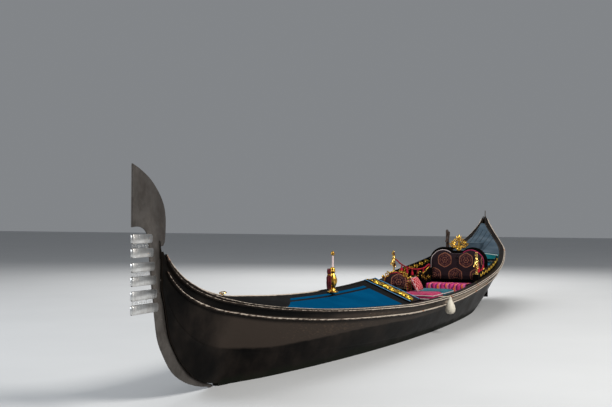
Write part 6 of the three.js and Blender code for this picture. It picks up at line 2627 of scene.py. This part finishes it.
@dataclass
class Swags:
    """The crimson cords that sag from the sea-horses' manes to the sofa's arms, with their tassels."""

    covering: CoveringBoard
    radius: float = 0.011
    sag: float = 0.095
    horse: float = 7.1
    aside: float = 0.028
    mane: tuple[float, float] = (0.0315, 0.721)
    arm_x: float = x_at(8.3) + 0.038
    arm_y: Point2 = (0.13, 0.396)
    arm_top: float = 0.5603
    straight: float = 0.016
    drop: float = 0.034
    tassels: tuple[float, ...] = (0.22, 0.36, 0.5, 0.64, 0.78)

    def build(self, looks: Finishes) -> None:
        """Makes both cords."""
        for side in Side:
            self._cord(side, looks)

    def _path(self, side: Side) -> list[Vector]:
        """Gives the centreline from the mane to the arm."""
        y = side.value * (self.covering.inner(side, x_at(self.horse)) - self.aside)
        first = Vector((x_at(self.horse) - self.mane[0], y, self.mane[1]))
        last = Vector((self.arm_x, self.arm_y[0] + side.value * self.arm_y[1], self.arm_top))
        start = first - Vector((self.straight, 0, 0))
        end = last + Vector((0, 0, self.drop))
        hanging = [start.lerp(end, t) - Vector((0, 0, 4 * self.sag * t * (1 - t)))
                   for t in (0.15, 0.3, 0.5, 0.7, 0.85)]
        return cord_through([first, start, *hanging, end, last], 0.02)

    def _cord(self, side: Side, looks: Finishes) -> None:
        """Makes one cord, its tassels and the brass eyes at its ends."""
        path = self._path(side)
        cord, far = twisted(f"crimson_swag_{side.tag}", path, self.radius, 0.05)
        rope = settle(cord.made(looks.crimson), "crimson_fabric", f"swag_{side.tag}")
        tassels = Shape(f"swag_tassels_{side.tag}")
        skirt = [(0.021, 0.0), (0.019, 0.032), (0.012, 0.048), (0.006, 0.053), (0.013, 0.059), (0.011, 0.068),
                 (0.004, 0.072)]
        for share in self.tassels:
            knot = path[round(share * (len(path) - 1))]
            tassels.tube([knot, knot - Vector((0, 0, 0.018))], 0.004, 6)
            tassels.lathe(knot - Vector((0, 0, 0.086)), skirt, 14)
        hung = settle(tassels.made(looks.crimson), "crimson_fabric")
        eyes = Shape(f"swag_eyes_{side.tag}")
        inside = self.radius * 0.6
        rim = [(inside, -0.001), (self.radius + 0.003, 0.001), (self.radius + 0.004, 0.005),
               (self.radius + 0.001, 0.009), (inside, 0.011)]
        for point, axis in ((path[0], -AHEAD), (path[-1], UP)):
            eyes.lathe(point, rim, 20, axis)
        settle(eyes.made(looks.brass), "brass")
        tuple(path[0])
        [tuple(p) for p in path]


@dataclass
class Studio:
    """Camera at the photograph's place, soft lights and a pale floor on the waterline."""

    eye: tuple[float, float, float] = (10.2536, 3.3274, 1.2548)
    yaw: float = -2.7398
    pitch: float = 0.0176
    roll: float = 0.0050
    lens: float = 53.84
    floor_half: float = 60.0
    exposure: float = -0.2

    def build(self, lines: HullLines) -> None:
        """Sets up the stage."""
        self._camera()
        self._lights()
        self._floor(lines)
        view = bpy.context.scene.view_settings
        view.view_transform = "Standard"
        view.exposure = self.exposure

    def _camera(self) -> None:
        """Places the camera by its three angles."""
        ahead = Vector((math.cos(self.pitch) * math.cos(self.yaw), math.cos(self.pitch) * math.sin(self.yaw),
                        math.sin(self.pitch)))
        right = ahead.cross(UP).normalized()
        up = right.cross(ahead)
        rolled_right = math.cos(self.roll) * right + math.sin(self.roll) * up
        rolled_up = math.cos(self.roll) * up - math.sin(self.roll) * right
        data = bpy.data.cameras.new("camera")
        data.lens = self.lens
        data.sensor_width = 36.0
        data.clip_end = 300.0
        camera = placed("camera", data)
        columns = Matrix((rolled_right, rolled_up, -ahead)).transposed().to_4x4()
        camera.matrix_world = Matrix.Translation(self.eye) @ columns
        bpy.context.scene.camera = camera

    def _lights(self) -> None:
        """Hangs large soft lights and fills the world with pale light."""
        for name, place, size, power, colour in (
            ("key", (4.0, 9.0, 9.0), 5.0, 1900.0, (1.0, 0.97, 0.92)),
            ("fill", (9.0, -8.0, 7.0), 7.0, 900.0, (0.9, 0.95, 1.0)),
            ("rim", (-9.0, -3.0, 8.0), 6.0, 1100.0, (1.0, 0.98, 0.95)),
        ):
            light = bpy.data.lights.new(name, "AREA")
            light.size = size
            light.energy = power
            light.color = colour
            lamp = placed(name, light)
            aim = Vector((0.5, 0, 0.4)) - Vector(place)
            lamp.matrix_world = Matrix.Translation(place) @ aim.to_track_quat("-Z", "Y").to_matrix().to_4x4()
            lamp.visible_glossy = name != "rim"
        world = bpy.data.worlds.new("studio")
        world.use_nodes = True
        sky = world.node_tree.nodes["Background"]
        sky.inputs["Color"].default_value = (0.86, 0.9, 0.95, 1.0)
        sky.inputs["Strength"].default_value = 0.3
        bpy.context.scene.world = world

    def _floor(self, lines: HullLines) -> None:
        """Lays the pale floor on the waterline, open inside the hull as water is."""
        tree = Tree("floor_paint")
        cloud = tree.noise(tree.where(), 0.7, 3.0)
        tree.surface(Base_Color=tree.blend(cloud, (0.5, 0.51, 0.52), (0.55, 0.56, 0.57)), Roughness=0.7,
                     Specular_IOR_Level=0.1)
        mesh = bpy.data.meshes.new("floor")
        far = self.floor_half
        outline = lines.afloat()
        points = [(far, far, 0), (far, -far, 0), (-far, far, 0), (-far, -far, 0)]
        for x, port, starboard in outline:
            points += [(x, far, 0), (x, port, 0), (x, starboard, 0), (x, -far, 0)]
        faces = [(1, 0, 4, 5, 6, 7)]
        for a in range(4, 4 * len(outline), 4):
            faces += [(a, a + 4, a + 5, a + 1), (a + 2, a + 6, a + 7, a + 3)]
        last = 4 * len(outline)
        faces.append((3, last + 3, last + 2, last + 1, last, 2))
        mesh.from_pydata(points, [], faces)
        mesh.materials.append(tree.material)
        placed("floor", mesh)


def main() -> None:
    """Builds the stage and every sub-assembly in order."""
    logging.basicConfig(level=logging.INFO, format="%(message)s")
    lines = HullLines()
    Studio().build(lines)
    looks = Finishes()
    covering = CoveringBoard(lines)
    Fender(lines, covering).build(looks)
    Swags(covering).build(looks)
    Planking(lines).build(looks)
    Strake(lines, "rail_strake", "rub_strake_upper", Row.RAIL_STRAKE_FOOT, Row.SHEER, out=0.020, start=0.50,
           end=10.75, pale_from=2.4, tone=(0.62, 0.86)).build(looks)
    Strake(lines, "side_strake", "rub_strake_lower", Row.LOW_STRAKE_FOOT, Row.LOW_STRAKE_HEAD, out=0.015,
           start=0.50, end=9.85, pale_from=2.6, tone=(0.7, 1.0)).build(looks)
    covering.build(looks)
    BareParts().build(looks)
    ForeDeck(lines).build(looks)
    CrossBoard().build(looks)
    AfterDeck().build(looks)
    BowIron().build(looks)
    SternIron().build(looks)
    Benches().build(looks)
    Sofa().build(looks)
    Chair().build(looks)
    SideBoards(lines, covering).build(looks)
    ForeDeckFittings().build(looks)
    RowingCrutch().build(looks)
    bpy.context.scene.frame_set(1)


if __name__ == "__main__":
    main()
